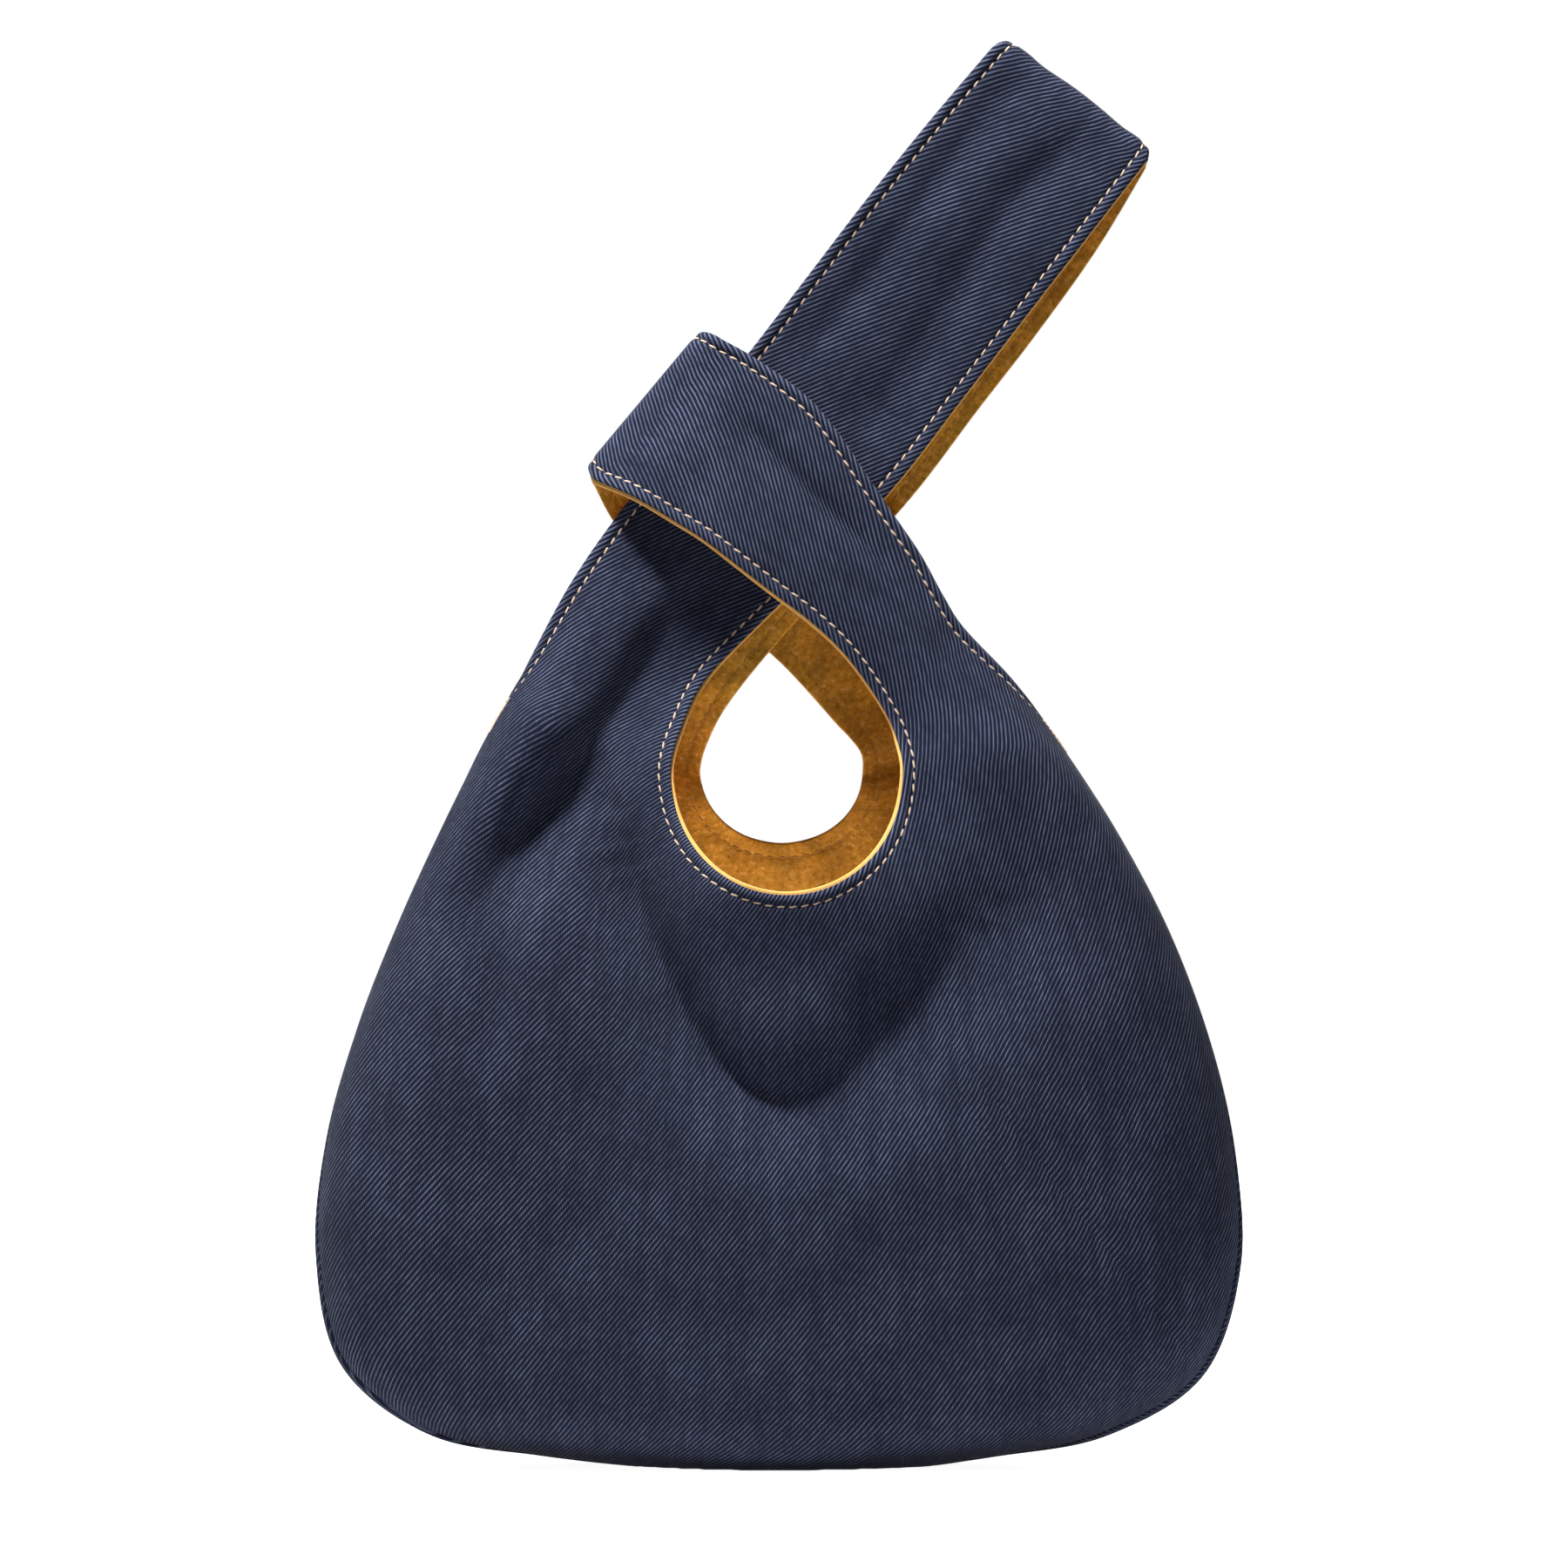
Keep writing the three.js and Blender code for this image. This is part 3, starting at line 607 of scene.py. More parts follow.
GRAIN = {FRONT: grain_field(FRONT)}
BACK_GRAIN = grain_field(BACK)
GRAIN[BACK] = turned_grain(BACK_GRAIN, LAST_RIB + 1)
body_paths = {side: Path(BODY_COLUMNS, (side, HANDLE_CUT, SHOULDER_CUT)) for side in (FRONT, BACK)}
loop_path = Path(STRAP_COLUMNS, (FRONT, SHOULDER_CUT, LAST_RIB + 1), (BACK, LAST_RIB + 1, SHOULDER_CUT))
GRAIN[BACK] = turned_grain(BACK_GRAIN, -1)
handle_path = Path(STRAP_COLUMNS, (FRONT, HANDLE_CUT, -1), (BACK, -1, HANDLE_CUT))


# How far the lining's cut edge shows past the cloth, at places along a panel, and how it rounds over.
# At a free outer edge it ends short of the cloth. Its face inside the bag has no lip and counts as
# SUEDE_EDGE or more from an edge.
LIP_PLACES = [-1, 5, 9, 12, 19, 24, 27, 30, 33, 37, LAST_RIB, LAST_RIB + 1]
LIP_REACH = [0.3, 0.3, 0.9, 1.2, 1.0, 1.2, 1.2, 1.2, 0.9, 0.6, 0.9, 1.0]
LIP_STEPS = [1, 0.93, 0.75, 0.4]
OUTER_LIP = -0.25
SUEDE_EDGE = 0.35
# Points of a sheet that lie nearer together than this are merged
MERGE_WITHIN = 0.004


def rounded(distance, radius):
    """0 at an edge and 1 from a radius inwards, as a quarter circle."""
    return np.sqrt(np.clip(1 - (1 - np.clip(distance / radius, 0, 1)) ** 2, 0, 1))


def bump_at(distance, place, width):
    return np.exp(-((distance - place) / width) ** 2)


def ring_of(upper, lower):
    return np.concatenate([upper, lower[:, -2:0:-1]], axis=1)


def set_points(mesh, name, values):
    attribute = mesh.attributes.new(name, "FLOAT_VECTOR", "POINT")
    attribute.data.foreach_set("vector", values.astype(np.float32).ravel())


def closed_sheet(name, path, upper, lower, cloth, edges, wear):
    """A closed sheet from the points of its two faces. A grid primitive is wrapped round the section
    of the sheet, the spare rows close its ends, and doubled points are merged. Its shading normals
    follow the surface, so that neighbouring pieces run into each other."""
    ring = ring_of(upper, lower)
    before = unit(ring - np.roll(ring, 1, axis=1))
    around = unit(before + np.roll(before, -1, axis=1))
    down = unit(ring[2:] - ring[:-2])
    shade = unit(np.cross(down, around[1:-1])) * path.turn
    shade = np.concatenate([shade[:1], shade, shade[-1:]])
    closing = ring_of((upper + lower) / 2, (upper + lower) / 2)
    ring[0], ring[-1] = closing[1], closing[-2]
    place = np.concatenate([ring_of(cloth, cloth), ring_of(edges[0], edges[1])[..., None]], axis=2)
    # Wear and painted light of each point, read by the materials; at a seam it holds painted shade
    painted_light_and_wear = ring_of(wear, wear)[..., None] * [1, 0, 0]
    around = [np.concatenate([part, part[:, :1]], axis=1) for part in (ring * METRE, place, shade, painted_light_and_wear)]

    bpy.ops.object.select_all(action="DESELECT")
    bpy.ops.mesh.primitive_grid_add(x_subdivisions=ring.shape[1], y_subdivisions=len(ring) - 1, size=1,
                                    calc_uvs=False)
    piece = bpy.context.object
    piece.name = piece.data.name = name
    bpy.ops.object.transform_apply(location=True, rotation=True, scale=True)
    mesh = piece.data
    mesh.vertices.foreach_set("co", around[0].astype(np.float32).ravel())
    set_points(mesh, "cloth", around[1])
    set_points(mesh, "shade", around[2])
    set_points(mesh, "wear", around[3])
    mesh.update()
    bpy.ops.object.mode_set(mode="EDIT")
    bpy.ops.mesh.select_all(action="SELECT")
    bpy.ops.mesh.remove_doubles(threshold=MERGE_WITHIN * METRE)
    bpy.ops.mesh.normals_make_consistent(inside=False)
    bpy.ops.object.mode_set(mode="OBJECT")
    bpy.ops.object.shade_smooth()
    normals = np.zeros(len(mesh.vertices) * 3)
    mesh.attributes["shade"].data.foreach_get("vector", normals)
    mesh.attributes.remove(mesh.attributes["shade"])
    mesh.normals_split_custom_set_from_vertices(normals.reshape(-1, 3).tolist())
    return piece


def clamped(points, least, path):
    """Stands a face on the floor, and keeps a strap on its own side of the middle plane."""
    points = points.copy()
    points[..., 2] = np.maximum(points[..., 2], least)
    flat = (path.roll < 0.001) & (path.along >= 0) & (path.along <= LAST_RIB)
    side = path.side[flat, None]
    points[flat, :, 1] = side * np.maximum(side * points[flat, :, 1], JOINT_GAP / 2)
    return points


# Cloth at its edges: radius, fullness of the turned hem with its place and breadth, and depth, place
# and breadth of the line that the stitches draw in. At a seam: how deep its outer face dips and between
# what distances, how much of that its inner face takes, and between what distances its weft is darkened
# as painted shade in the seam.
CLOTH_ROUNDING = 0.5
HEM_FULLNESS = 0.38
HEM_AT = (1.6, 1.1)
CLOTH_DRAWN = 0.4
CLOTH_DRAWN_AT = (STITCH_IN, 0.6)
CLOTH_DIP = 1.5
CLOTH_DIP_FROM = (2.0, 0)
INNER_DIP = 0.9
SEAM_SHADE = (1.6, 0.4)
# Suede: the same radius, stitched line and dip
SUEDE_ROUNDING = 0.45
SUEDE_DRAWN = 0.25
SUEDE_DRAWN_AT = (STITCH_IN, 0.55)
SUEDE_DIP = 1.8
SUEDE_DIP_FROM = (3.4, 0.3)
# Distance that stands for no free edge
FAR = 99


def beside_edges(inner, outer, free, place, breadth):
    """1 at a place beside the inner edge, and beside the outer one where it is free."""
    return bump_at(inner, place, breadth) + free * bump_at(outer, place, breadth)


def cloth_sheet(name, path):
    """Heavy twill of one piece. Its free edges are turned and full, its stitched line is drawn in,
    and where it is sewn to the other panel it dips into the seam and its weft is darkened there as painted
    shade."""
    sewn = path.sewn[:, None]
    inner, outer, free = path.inner, path.outer, 1 - sewn
    half = CLOTH / 2 * rounded(inner, CLOTH_ROUNDING) * rounded(outer, CLOTH_ROUNDING)
    centre = (CLOTH_FACE + LAYER_GAP / 2) / 2
    full = HEM_FULLNESS * beside_edges(inner, outer, free, *HEM_AT)
    drawn = CLOTH_DRAWN * beside_edges(inner, outer, free, *CLOTH_DRAWN_AT)
    seam = sewn * CLOTH_DIP * ease(*CLOTH_DIP_FROM, outer)
    upper = path.point + path.normal * (centre + half + full - drawn - seam)[..., None]
    lower = path.point + path.normal * (centre - half - seam * INNER_DIP)[..., None]
    faces = clamped(upper, 0, path), clamped(lower, CLOTH, path)
    edge = np.minimum(inner, np.where(free > 0.5, outer, FAR))
    # Painted shade in the seam: the wear values are lowered towards a sewn edge, which darkens the weft
    wear = path.wear - sewn * ease(*SEAM_SHADE, outer)
    return closed_sheet(name, path, *faces, path.grain, (edge, edge), wear)


def lining_sheet(name, path):
    """Suede of one piece. Its cut edge shows past the cloth as a smooth lip, its stitched line is drawn
    in from the inside, and it dips into a seam with the cloth."""
    lip = np.interp(path.along, LIP_PLACES, LIP_REACH)[:, None] * np.array([LIP_STEPS])
    from_inner = unit(path.point[:, 3] - path.point[:, 0])[:, None, :]
    from_outer = unit(path.point[:, -4] - path.point[:, -1])[:, None, :]
    free = 1 - path.sewn[:, None]
    outer_lip = OUTER_LIP * free
    steps = lip.shape[1]
    point = np.concatenate([path.point[:, :1] - from_inner * lip[..., None], path.point], axis=1)
    point[:, -1:] -= from_outer * outer_lip[..., None]
    normal = np.concatenate([np.repeat(path.normal[:, :1], steps, axis=1), path.normal], axis=1)
    inner = np.concatenate([-lip, path.inner], axis=1)
    outer = np.concatenate([path.outer[:, :1] + lip, path.outer], axis=1)
    beyond = np.stack([lip, 0 * lip], axis=2)
    grain = np.concatenate([np.repeat(path.grain[:, :1], steps, axis=1) + beyond, path.grain], axis=1)
    half = LINING / 2 * rounded(inner + lip[:, :1], SUEDE_ROUNDING) * rounded(outer, SUEDE_ROUNDING)
    centre = -(LINING_FACE + LAYER_GAP / 2) / 2
    drawn = SUEDE_DRAWN * beside_edges(inner, outer, free, *SUEDE_DRAWN_AT)
    seam = path.sewn[:, None] * SUEDE_DIP * ease(*SUEDE_DIP_FROM, outer)
    upper = point + normal * (centre + half - seam)[..., None]
    lower = point + normal * (centre - half + drawn - seam)[..., None]
    edge = np.minimum(inner, np.where(free > 0.5, outer, FAR))
    inside = np.maximum(edge, SUEDE_EDGE)
    least = CLOTH_FACE + LAYER_GAP / 2
    faces = clamped(upper, least, path), clamped(lower, least + LINING, path)
    wear = np.concatenate([np.repeat(path.wear[:, :1], steps, axis=1), path.wear], axis=1)
    return closed_sheet(name, path, *faces, grain, (edge, inside), wear)


class Nodes:
    """Short names for making the nodes of a material or the world. A value that goes into a node is
    a number, a colour or another node's output."""

    def __init__(self, owner):
        owner.use_nodes = True
        self.tree = owner.node_tree
        self.tree.nodes.clear()

    def put(self, value, socket):
        if isinstance(value, bpy.types.NodeSocket):
            self.tree.links.new(value, socket)
        else:
            socket.default_value = value

    def make(self, kind, values=(), **settings):
        """A node with its settings, and with values in its inputs, in their order or by their name."""
        node = self.tree.nodes.new(kind)
        for name, setting in settings.items():
            setattr(node, name, setting)
        for place, value in values.items() if isinstance(values, dict) else enumerate(values):
            self.put(value, node.inputs[place])
        return node

    def math(self, operation, *values, clamp=False):
        return self.make("ShaderNodeMath", values, operation=operation, use_clamp=clamp).outputs[0]


class Shader(Nodes):
    """One material, with short names for what its colours and relief are made of."""

    def __init__(self, name):
        self.material = bpy.data.materials.new(name)
        super().__init__(self.material)
        self.surface = self.make("ShaderNodeBsdfPrincipled")
        self.make("ShaderNodeOutputMaterial", {"Surface": self.surface.outputs[0]})

    def plus(self, first, second):
        return self.math("ADD", first, second)

    def minus(self, first, second):
        return self.math("SUBTRACT", first, second)

    def times(self, first, second):
        return self.math("MULTIPLY", first, second)

    def scaled(self, value, factor, start):
        return self.math("MULTIPLY_ADD", value, factor, start)

    def split(self, attribute):
        vector = self.make("ShaderNodeAttribute", attribute_name=attribute).outputs["Vector"]
        return self.make("ShaderNodeSeparateXYZ", [vector]).outputs

    def vector(self, x=0.0, y=0.0, z=0.0):
        return self.make("ShaderNodeCombineXYZ", (x, y, z)).outputs[0]

    def noise(self, vector, scale, detail=2.0, roughness=0.5):
        values = {"Vector": vector, "Scale": scale, "Detail": detail, "Roughness": roughness}
        return self.make("ShaderNodeTexNoise", values).outputs["Fac"]

    def random(self, vector):
        node = self.make("ShaderNodeTexWhiteNoise", {"Vector": vector}, noise_dimensions="3D")
        return node.outputs["Value"]

    def smooth(self, value, low, high, start=0.0, end=1.0):
        values = value, low, high, start, end
        return self.make("ShaderNodeMapRange", values, interpolation_type="SMOOTHSTEP").outputs[0]

    def blend(self, share, first, second):
        first, second = ((*value, 1) if isinstance(value, tuple) else value for value in (first, second))
        values = {"Factor": share, 6: first, 7: second}
        return self.make("ShaderNodeMix", values, data_type="RGBA").outputs[2]

    def scale_colour(self, colour, amount):
        values = {0: colour, "Scale": amount}
        return self.make("ShaderNodeVectorMath", values, operation="SCALE").outputs[0]

    def bump(self, height, distance, strength):
        values = {"Height": height, "Distance": distance, "Strength": strength}
        return self.make("ShaderNodeBump", values).outputs[0]

    def finish(self, colour, roughness, normal, **numbers):
        self.put(colour, self.surface.inputs["Base Color"])
        self.put(roughness, self.surface.inputs["Roughness"])
        self.put(normal, self.surface.inputs["Normal"])
        for name, value in numbers.items():
            self.surface.inputs[name.replace("_", " ")].default_value = value
        return self.material


# Twill: spacing of warp ends and weft picks, and after how many picks a weft float comes back
END_SPACING = 0.36
PICK_SPACING = 0.54
TWILL_REPEAT = 4.0
# Warp in painted shade, the warp's own colour, the warp where it is rubbed or light is painted, and the
# weft
WARP_IN_SHADE = (0.0015, 0.0022, 0.0062)
WARP_COLOUR = (0.0120, 0.0162, 0.0395)
WARP_WORN_AND_LIT = (0.0260, 0.0320, 0.0570)
WEFT_COLOUR = (0.202, 0.226, 0.345)
# Shares of the half-width of a line and of an end between which a weft float fades
FLOAT_SIDES = (0.58, 0.08)
FLOAT_TIPS = (0.88, 0.36)
# How much lighter or darker single floats, patches of the cloth and streaks along the warp are
LUCK_TONES = (0.64, 1.03)
PATCH_TONES = (0.75, 1.1)
STREAK_TONES = (0.75, 1.1)
# Distances from a free edge between which it is rubbed pale, and how high the weave stands
WORN_EDGE = (2.6, 0.6)
TWILL_RELIEF = 0.15


def twill_material():
    s = Shader("dark_twill")
    u, v, edge = s.split("cloth")
    wear = s.split("wear")[0]
    place = s.vector(u, v)
    wander = s.scaled(s.noise(place, 0.11, 2.0), 0.2, -0.1)
    waver = s.scaled(s.noise(place, 0.9, 1.0), 0.07, -0.035)
    x = s.math("DIVIDE", s.plus(u, wander), END_SPACING)
    y = s.math("DIVIDE", s.plus(s.minus(v, wander), waver), PICK_SPACING)
    end, end_share = s.math("FLOOR", x), s.math("FRACT", x)
    line = s.math("DIVIDE", s.minus(y, x), TWILL_REPEAT)
    line_number = s.math("FLOOR", s.plus(line, 0.5))
    off_line = s.times(s.math("ABSOLUTE", s.minus(line, line_number)), 2.0)
    off_end = s.times(s.math("ABSOLUTE", s.minus(end_share, 0.5)), 2.0)

    # Weft floats, some lighter than others, lighter where the cloth is rubbed and where light is painted
    # on the band and the handle, and darker towards a seam as painted shade
    streaks = s.noise(s.vector(s.times(u, 0.25), s.times(v, 0.03)), 1.0, 3.0, 0.6)
    patches = s.noise(place, 0.045, 4.0, 0.62)
    worn_edge = s.smooth(edge, *WORN_EDGE, 0.0, 0.5)
    run = s.math("FLOOR", s.scaled(line_number, 0.37, s.times(x, 0.4)))
    run_luck = s.times(s.random(s.vector(run, line_number, 7.0)), 0.6)
    luck = s.scaled(s.random(s.vector(end, line_number)), 0.4, run_luck)
    weft = s.times(s.smooth(off_line, *FLOAT_SIDES), s.smooth(off_end, *FLOAT_TIPS))
    strength = s.times(s.smooth(luck, 0.1, 0.9, *LUCK_TONES), s.smooth(patches, 0.3, 0.7, *PATCH_TONES))
    strength = s.times(strength, s.scaled(wear, 0.68, 0.80))
    strength = s.plus(s.times(strength, s.smooth(streaks, 0.3, 0.7, *STREAK_TONES)), worn_edge)
    weft = s.math("MULTIPLY", weft, strength, clamp=True)

    # Warp ends, with painted shade in the lines between them and at the sides of each end, and lit along
    # their crests
    ridge = s.smooth(off_line, 0.25, 0.95)
    yarn = s.minus(1.0, s.times(off_end, off_end))
    yarn_tone = s.scaled(s.random(s.vector(end)), 0.2, 0.9)
    fuzz = s.noise(place, 3.6, 3.0, 0.75)
    lit = s.times(ridge, s.scaled(yarn, 0.5, 0.5))
    warp = s.blend(lit, WARP_IN_SHADE, WARP_COLOUR)
    # Paler warp from fuzz, a rubbed edge and the wear values, which also paint light on the band and the
    # handle and painted shade at a seam
    rub_and_light = s.plus(s.smooth(fuzz, 0.5, 0.78, 0.0, 0.4), s.times(worn_edge, 0.4))
    rub_and_light = s.plus(rub_and_light, s.times(wear, 0.3))
    warp = s.blend(s.times(rub_and_light, lit), warp, WARP_WORN_AND_LIT)
    warp = s.scale_colour(warp, s.times(yarn_tone, s.smooth(patches, 0.3, 0.7, 0.9, 1.08)))
    colour = s.blend(weft, warp, WEFT_COLOUR)
    height = s.times(s.scaled(ridge, 0.75, 0.25), s.scaled(yarn, 0.4, 0.6))
    height = s.scaled(fuzz, 0.3, height)
    normal = s.bump(height, TWILL_RELIEF * METRE, 0.9)
    gloss = {"Specular_IOR_Level": 0.03, "Sheen_Weight": 0.03, "Sheen_Roughness": 0.5}
    return s.finish(colour, 0.88, normal, **gloss)


# Suede: colours of the nap and of the smooth cut lip, the distances from the cloth's edge between
# which one turns into the other, and how high the nap stands
SUEDE_DARK = (0.250, 0.105, 0.008)
SUEDE_MID = (0.575, 0.268, 0.028)
SUEDE_LIGHT = (0.820, 0.490, 0.140)
LIP_COLOUR = (0.84, 0.40, 0.065)
LIP_LIGHT = (0.92, 0.55, 0.19)
LIP_ENDS = (0.12, -0.08)
SUEDE_RELIEF = 0.5


def suede_material():
    s = Shader("ochre_suede")
    u, v, edge = s.split("cloth")
    place = s.vector(u, v)
    broad = s.noise(place, 0.11, 3.0, 0.6)
    mottle = s.noise(place, 0.55, 4.0, 0.68)
    nap = s.noise(s.vector(s.times(u, 3.2), s.times(v, 1.3)), 1.0, 3.0, 0.7)
    shade = s.plus(s.times(mottle, 0.62), s.times(nap, 0.38))
    colour = s.blend(s.smooth(shade, 0.33, 0.5), SUEDE_DARK, SUEDE_MID)
    colour = s.blend(s.smooth(shade, 0.5, 0.68), colour, SUEDE_LIGHT)
    # Painted light: the straps' lining is brightened by the wear values, up to about 1.7 times on the loop
    strap_painted_light = s.scaled(s.split("wear")[0], 2.0, 1.0)
    colour = s.scale_colour(colour, s.times(strap_painted_light, s.smooth(broad, 0.3, 0.7, 0.72, 1.2)))
    lip = s.smooth(edge, *LIP_ENDS)
    lip_colour = s.blend(s.noise(place, 0.3, 2.0), LIP_COLOUR, LIP_LIGHT)
    colour = s.blend(lip, colour, lip_colour)
    rough = s.minus(1.0, lip)
    height = s.times(s.plus(s.times(mottle, 0.6), s.times(nap, 0.6)), rough)
    normal = s.bump(height, SUEDE_RELIEF * METRE, 0.7)
    roughness = s.scaled(rough, 0.35, 0.55)
    gloss = {"Specular_IOR_Level": 0.15, "Sheen_Weight": 0.08, "Sheen_Roughness": 0.4}
    return s.finish(colour, roughness, normal, **gloss)


# Thread: colour and shade of its strands, outside and inside the bag, and how far they stand out
THREAD_PALE = (0.76, 0.57, 0.43)
THREAD_PALE_SHADE = (0.22, 0.10, 0.04)
THREAD_TAN = (0.50, 0.24, 0.06)
THREAD_TAN_SHADE = (0.16, 0.06, 0.012)
THREAD_RELIEF = 0.05


def thread_material(name, pale, shade):
    s = Shader(name)
    u, v, _ = s.split("thread")
    twist = s.math("SINE", s.plus(s.times(u, 9.0), s.times(v, 6.0)))
    ends = s.smooth(s.math("ABSOLUTE", u), 0.75, 1.3)
    colour = s.blend(s.scaled(twist, 0.12, 0.14), pale, shade)
    colour = s.blend(ends, colour, shade)
    normal = s.bump(twist, THREAD_RELIEF * METRE, 0.6)
    return s.finish(colour, 0.6, normal, Specular_IOR_Level=0.3)


# A stitch: half its height as a share of its width, how deep its ends dip, how much it slants, and
# how far before and behind its middle its direction is taken
STITCH_LENGTH = 2.95
STITCH_WIDTH = 0.56
STITCH_HEIGHT = 0.36
STITCH_DIP = 0.42
STITCH_SLANT = math.radians(7)
STITCH_SPAN = 0.6


def stitch_shape():
    """One stitch: a flattened bead drawn out along x, whose ends dip into the cloth."""
    bpy.ops.object.select_all(action="DESELECT")
    bpy.ops.mesh.primitive_uv_sphere_add(segments=7, ring_count=7, radius=1, rotation=(0, math.pi / 2, 0))
    bead = bpy.context.object
    bpy.ops.object.transform_apply(location=True, rotation=True, scale=True)
    corners = np.zeros(len(bead.data.vertices) * 3)
    bead.data.vertices.foreach_get("co", corners)
    corners = corners.reshape(-1, 3)
    faces = [tuple(face.vertices) for face in bead.data.polygons]
    bpy.data.objects.remove(bead)
    reach = corners[:, 0]
    full = np.sqrt(np.clip(1 - reach ** 2, 0, 1)) + 1e-6
    plump = np.clip(1 - reach ** 4, 0, 1) ** 0.5 / full
    shaped = np.stack([
        reach * STITCH_LENGTH / 2,
        corners[:, 1] * plump * STITCH_WIDTH / 2,
        corners[:, 2] * plump * STITCH_WIDTH * STITCH_HEIGHT - STITCH_DIP * reach ** 4,
    ], axis=1)
    cosine, sine = math.cos(STITCH_SLANT), math.sin(STITCH_SLANT)
    shaped[:, :2] = shaped[:, :2] @ np.array([[cosine, sine], [-sine, cosine]])
    return shaped, faces


STITCH = stitch_shape()


def along_line(points, normals, places, length):
    """Points at places on a line, and there the directions along it, across it and off the cloth."""
    def at(values, step):
        return np.stack([np.interp(places + step, length, values[:, k]) for k in range(3)], axis=1)
    forward = unit(at(points, STITCH_SPAN) - at(points, -STITCH_SPAN))
    side = unit(np.cross(unit(at(normals, 0)), forward))
    return at(points, 0), forward, side, np.cross(forward, side)


def stitches(name, lines, scale=(1, 1, 1), pitch=STITCH_PITCH):
    """A row of stitches along each line of points, with the cloth's normal at each point."""
    shape, faces = STITCH
    shape = shape * np.array(scale)
    corners, polygons, local = [], [], []
    for points, normals in lines:
        length = lengths_along(points)
        count = max(int(round(length[-1] / pitch)), 1)
        places = (np.arange(count) + 0.5) * length[-1] / count
        for centre, forward, side, up in zip(*along_line(points, normals, places, length)):
            start = len(corners) * len(shape)
            corners.append(centre + shape[:, :1] * forward + shape[:, 1:2] * side + shape[:, 2:] * up)
            local.append(STITCH[0])
            polygons.extend(tuple(start + corner for corner in face) for face in faces)
    mesh = bpy.data.meshes.new(name)
    mesh.from_pydata((np.concatenate(corners) * METRE).tolist(), [], polygons)
    set_points(mesh, "thread", np.concatenate(local))
    mesh.polygons.foreach_set("use_smooth", [True] * len(mesh.polygons))
    mesh.update()
    piece = bpy.data.objects.new(name, mesh)
    bpy.context.collection.objects.link(piece)
    return piece


def at_distance(path, field, row, distance):
    """Point and normal of a row of a path, at a distance from its inner or outer edge."""
    gaps = getattr(path, field)[row]
    order = np.argsort(gaps)
    point = [np.interp(distance, gaps[order], path.point[row, order, k]) for k in range(3)]
    normal = [np.interp(distance, gaps[order], path.normal[row, order, k]) for k in range(3)]
    return np.array(point), unit(np.array(normal))


def stitch_runs(path):
    """Rows and edge of each run of topstitching: the whole inner edge, and the outer edge of straps."""
    rows = np.arange(len(path.along))
    slits = (path.along < FIRST_FAN - SLIT_TURN) | (path.along > FIRST_LOOP - 2 + SLIT_TURN)
    runs = np.split(rows, np.flatnonzero(np.diff(slits.astype(int))) + 1)
    return [("inner", rows)] + [("outer", run) for run in runs if slits[run[0]] and len(run) > 2]


def stitch_lines(path, height):
    """Lines of topstitching beside each free edge of a piece, at a height over its middle surface."""
    lines = []
    for field, rows in stitch_runs(path):
        points, normals = map(np.array, zip(*(at_distance(path, field, row, STITCH_IN) for row in rows)))
        up = normals * math.copysign(1, height)
        lines.append((points + up * abs(height), up))
    return lines


# The topstitching ends a little before the foot of a slit, and a turn of close and thick stitches
# leads out to the edge: how far up it reaches, how far it stands off the cloth, how far past the foot
# and on how many rows it may lie, and its points
SLIT_TURN = 0.12
TACK_PITCH = 1.5
TACK_SCALE = (0.8, 1.25, 1.2)
TACK_REACH = 7.0
TACK_STANDS = 0.1
TACK_BELOW = 0.2
TACK_ROWS = 60
TACK_POINTS = 16


def slit_tack(path, foot, above):
    """Line of the turn at the foot of a slit. It comes down along the edge and ends across it."""
    outer = path.point[:, -1]
    rows = np.flatnonzero((path.along - foot) * above >= -TACK_BELOW)
    rows = rows[np.argsort(np.abs(path.along[rows] - foot))][:TACK_ROWS]
    gap = np.linalg.norm(outer[rows] - outer[rows[0]], axis=1)
    line = []
    for share in np.linspace(0, 1, TACK_POINTS):
        angle = share * math.pi / 2
        drop = TACK_REACH * (1 - math.sin(angle)) ** 1.3
        row = rows[int(np.argmin(np.abs(gap - drop)))]
        distance = STITCH_IN * math.cos(angle) ** 0.5
        point, normal = at_distance(path, "outer", row, distance)
        line.append((point + normal * (CLOTH_FACE + TACK_STANDS), normal))
    return tuple(map(np.array, zip(*line)))


# Pieces of cloth and suede, with the solids that each one stands for
PIECES = [
    ("body_front", body_paths[FRONT], ["body_{}_front"]),
    ("body_back", body_paths[BACK], ["body_{}_back"]),
    ("handle", handle_path, [
        "handle_{}_front", "handle_{}_back", "handle_fold_{}_front", "handle_fold_{}_back",
    ]),
    ("loop", loop_path, ["shoulder_{}_front", "shoulder_{}_back", "loop_{}_front", "loop_{}_back"]),
]


def carry(piece, part):
    """Rides a piece on the bag, or bakes the placement of a handle or loop piece into its points."""
    if part == "handle":
        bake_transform(piece)
    elif part == "loop":
        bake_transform(piece)
    else:
        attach(piece, "bag")


twill, suede = twill_material(), suede_material()
pale_thread = thread_material("pale_thread", THREAD_PALE, THREAD_PALE_SHADE)
tan_thread = thread_material("tan_thread", THREAD_TAN, THREAD_TAN_SHADE)
# Heights of the stitches, sunk a little into the outer and the inner face
CLOTH_STITCHES = CLOTH_FACE - 0.24
SUEDE_STITCHES = 0.2 - LINING_FACE
# Layers: name, slot, material, sheet, thread, height of the stitches and their proportions
LAYERS = [
    ("cloth", "denim", twill, cloth_sheet, pale_thread, CLOTH_STITCHES, (1, 1, 1)),
    ("suede", "lining", suede, lining_sheet, tan_thread, SUEDE_STITCHES, (0.9, 0.75, 1)),
]


def sew(name, lines, thread, part, scale=(1, 1, 1), pitch=STITCH_PITCH):
    row = stitches(name, lines, scale, pitch)
    row.data.materials.append(thread)
    carry(row, part)


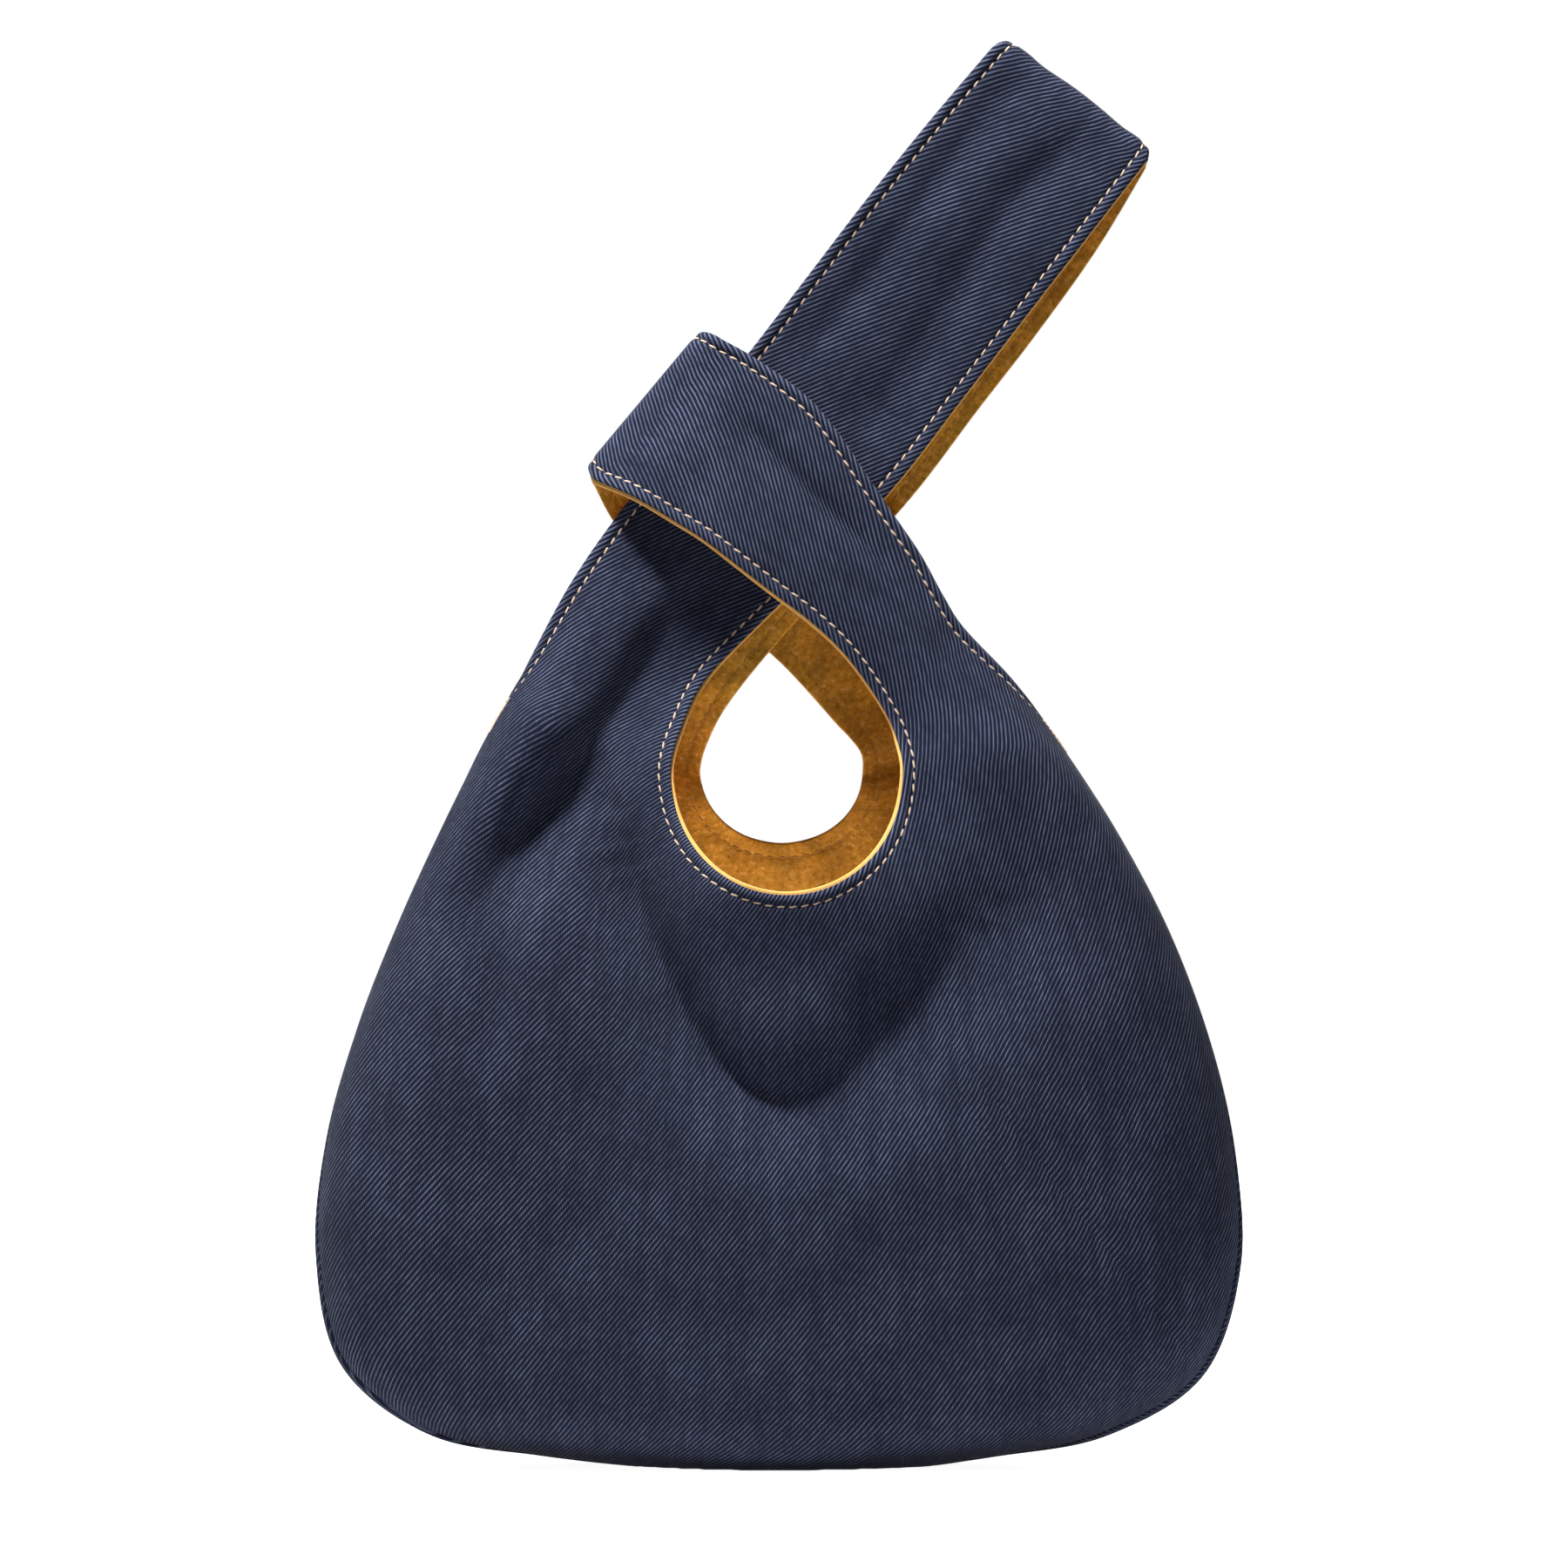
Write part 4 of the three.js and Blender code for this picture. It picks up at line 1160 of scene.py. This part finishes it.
for part, path, nodes in PIECES:
    for layer, slot, material, make, thread, height, scale in LAYERS:
        sheet = make(f"{part}_{layer}", path)
        sheet.data.materials.append(material)
        carry(sheet, part)
        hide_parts(*(node.format(slot) for node in nodes))
        sew(f"{part}_{layer}_stitches", stitch_lines(path, height), thread, part, scale)
for side, name in ((FRONT, "front"), (BACK, "back")):
    for slit, foot, above in (("left", FIRST_FAN, -1), ("right", FIRST_LOOP - 2, 1)):
        line = slit_tack(body_paths[side], foot, above)
        sew(f"{slit}_slit_tack_{name}", [line], pale_thread, f"body_{name}", TACK_SCALE, TACK_PITCH)


# Camera at the photograph's angle, and the frame that it takes in
FRAME_WIDTH = 457.2
FRAME_CENTRE = (1.5, 198.4)
CAMERA_DISTANCE = 2600.0
SENSOR = 36.0


def add_camera():
    data = bpy.data.cameras.new("camera")
    data.sensor_width = SENSOR
    data.lens = SENSOR * CAMERA_DISTANCE / FRAME_WIDTH
    data.clip_start, data.clip_end = 0.1, 50
    camera = bpy.data.objects.new("camera", data)
    bpy.context.collection.objects.link(camera)
    camera.location = (FRAME_CENTRE[0] * METRE, -CAMERA_DISTANCE * METRE, FRAME_CENTRE[1] * METRE)
    camera.rotation_euler = (math.pi / 2, 0, 0)
    bpy.context.scene.camera = camera


WORLD_FILL = 0.045
FLOOR_GLOW = 0.95
FLOOR_COLOUR = (0.88, 0.88, 0.88, 1)
# Distances in metres between which the floor loses its paleness as a reflector, and the paleness
# there. To the left and right a distance counts for less.
BOUNCE_RANGE = (0.1, 0.35, 0.85, 0.15)
BOUNCE_SHAPE = (0.6, 1, 1)
# Lamps: place in metres, size and power. The key stands high in front, a little to the left.
LIGHT_AIM = (0, 0, 0.2)
LAMPS = [
    ("key", (-0.23, -0.28, 1.12), 0.16, 23),
    ("left_edge", (-1.7, -0.1, 0.7), 0.8, 3),
    ("right_edge", (1.7, 0.0, 0.8), 0.8, 4),
    ("back", (0.3, 1.8, 0.7), 0.6, 22),
    ("low_front", (0.0, -0.55, 0.02), 0.3, 0.45),
    ("inside", (0.0, 0.004, 0.115), 0.02, 0.045),
]


def add_lamp(name, place, size, power):
    data = bpy.data.lights.new(name, "AREA")
    data.shape, data.size, data.energy = "DISK", size, power
    lamp = bpy.data.objects.new(name, data)
    bpy.context.collection.objects.link(lamp)
    lamp.location = place
    reach = np.array(LIGHT_AIM, float) - np.array(place, float)
    level = math.hypot(reach[0], reach[1])
    lamp.rotation_euler = (math.atan2(level, -reach[2]), 0, math.atan2(reach[1], reach[0]) - math.pi / 2)


def camera_sees(nodes, seen, unseen):
    """Mixes two shaders by whether the surface is looked at, directly or in a reflection."""
    light_path = nodes.make("ShaderNodeLightPath").outputs
    looked_at = light_path["Is Camera Ray"]
    for kind in ("Is Glossy Ray", "Is Transmission Ray"):
        looked_at = nodes.math("MAXIMUM", looked_at, light_path[kind])
    return nodes.make("ShaderNodeMixShader", (looked_at, unseen, seen)).outputs[0]


def white_ground_material():
    """Pale floor that glows to white for the camera, and still takes the bag's shadow."""
    material = bpy.data.materials.new("pale_floor")
    nodes = Nodes(material)
    diffuse = nodes.make("ShaderNodeBsdfDiffuse", {"Color": FLOOR_COLOUR}).outputs[0]
    glow = nodes.make("ShaderNodeEmission", {"Color": (1, 1, 1, 1), "Strength": FLOOR_GLOW}).outputs[0]
    both = nodes.make("ShaderNodeAddShader", (diffuse, glow)).outputs[0]
    place = nodes.make("ShaderNodeTexCoord").outputs["Object"]
    shaped = nodes.make("ShaderNodeVectorMath", (place, BOUNCE_SHAPE), operation="MULTIPLY").outputs[0]
    away = nodes.make("ShaderNodeVectorMath", [shaped], operation="LENGTH").outputs["Value"]
    paleness = nodes.make("ShaderNodeMapRange", (away, *BOUNCE_RANGE)).outputs[0]
    dim = nodes.make("ShaderNodeBsdfDiffuse", {"Color": paleness}).outputs[0]
    nodes.make("ShaderNodeOutputMaterial", {"Surface": camera_sees(nodes, both, dim)})
    return material


def add_floor():
    bpy.ops.object.select_all(action="DESELECT")
    bpy.ops.mesh.primitive_circle_add(vertices=96, radius=2.2, fill_type="NGON", location=(0, 0, 0))
    floor = bpy.context.object
    floor.name = "floor"
    floor.data.materials.append(white_ground_material())


def set_world():
    """Plain white surroundings to the camera, and an even soft fill for everything else."""
    world = bpy.data.worlds.new("surroundings")
    bpy.context.scene.world = world
    nodes = Nodes(world)
    fill = {"Color": (0.95, 0.97, 1.0, 1), "Strength": WORLD_FILL}
    soft = nodes.make("ShaderNodeBackground", fill).outputs[0]
    white = nodes.make("ShaderNodeBackground", {"Color": (1, 1, 1, 1), "Strength": 1.0}).outputs[0]
    nodes.make("ShaderNodeOutputWorld", {"Surface": camera_sees(nodes, white, soft)})


add_camera()
add_floor()
set_world()
for lamp in LAMPS:
    add_lamp(*lamp)
bpy.context.scene.view_settings.view_transform = "Standard"
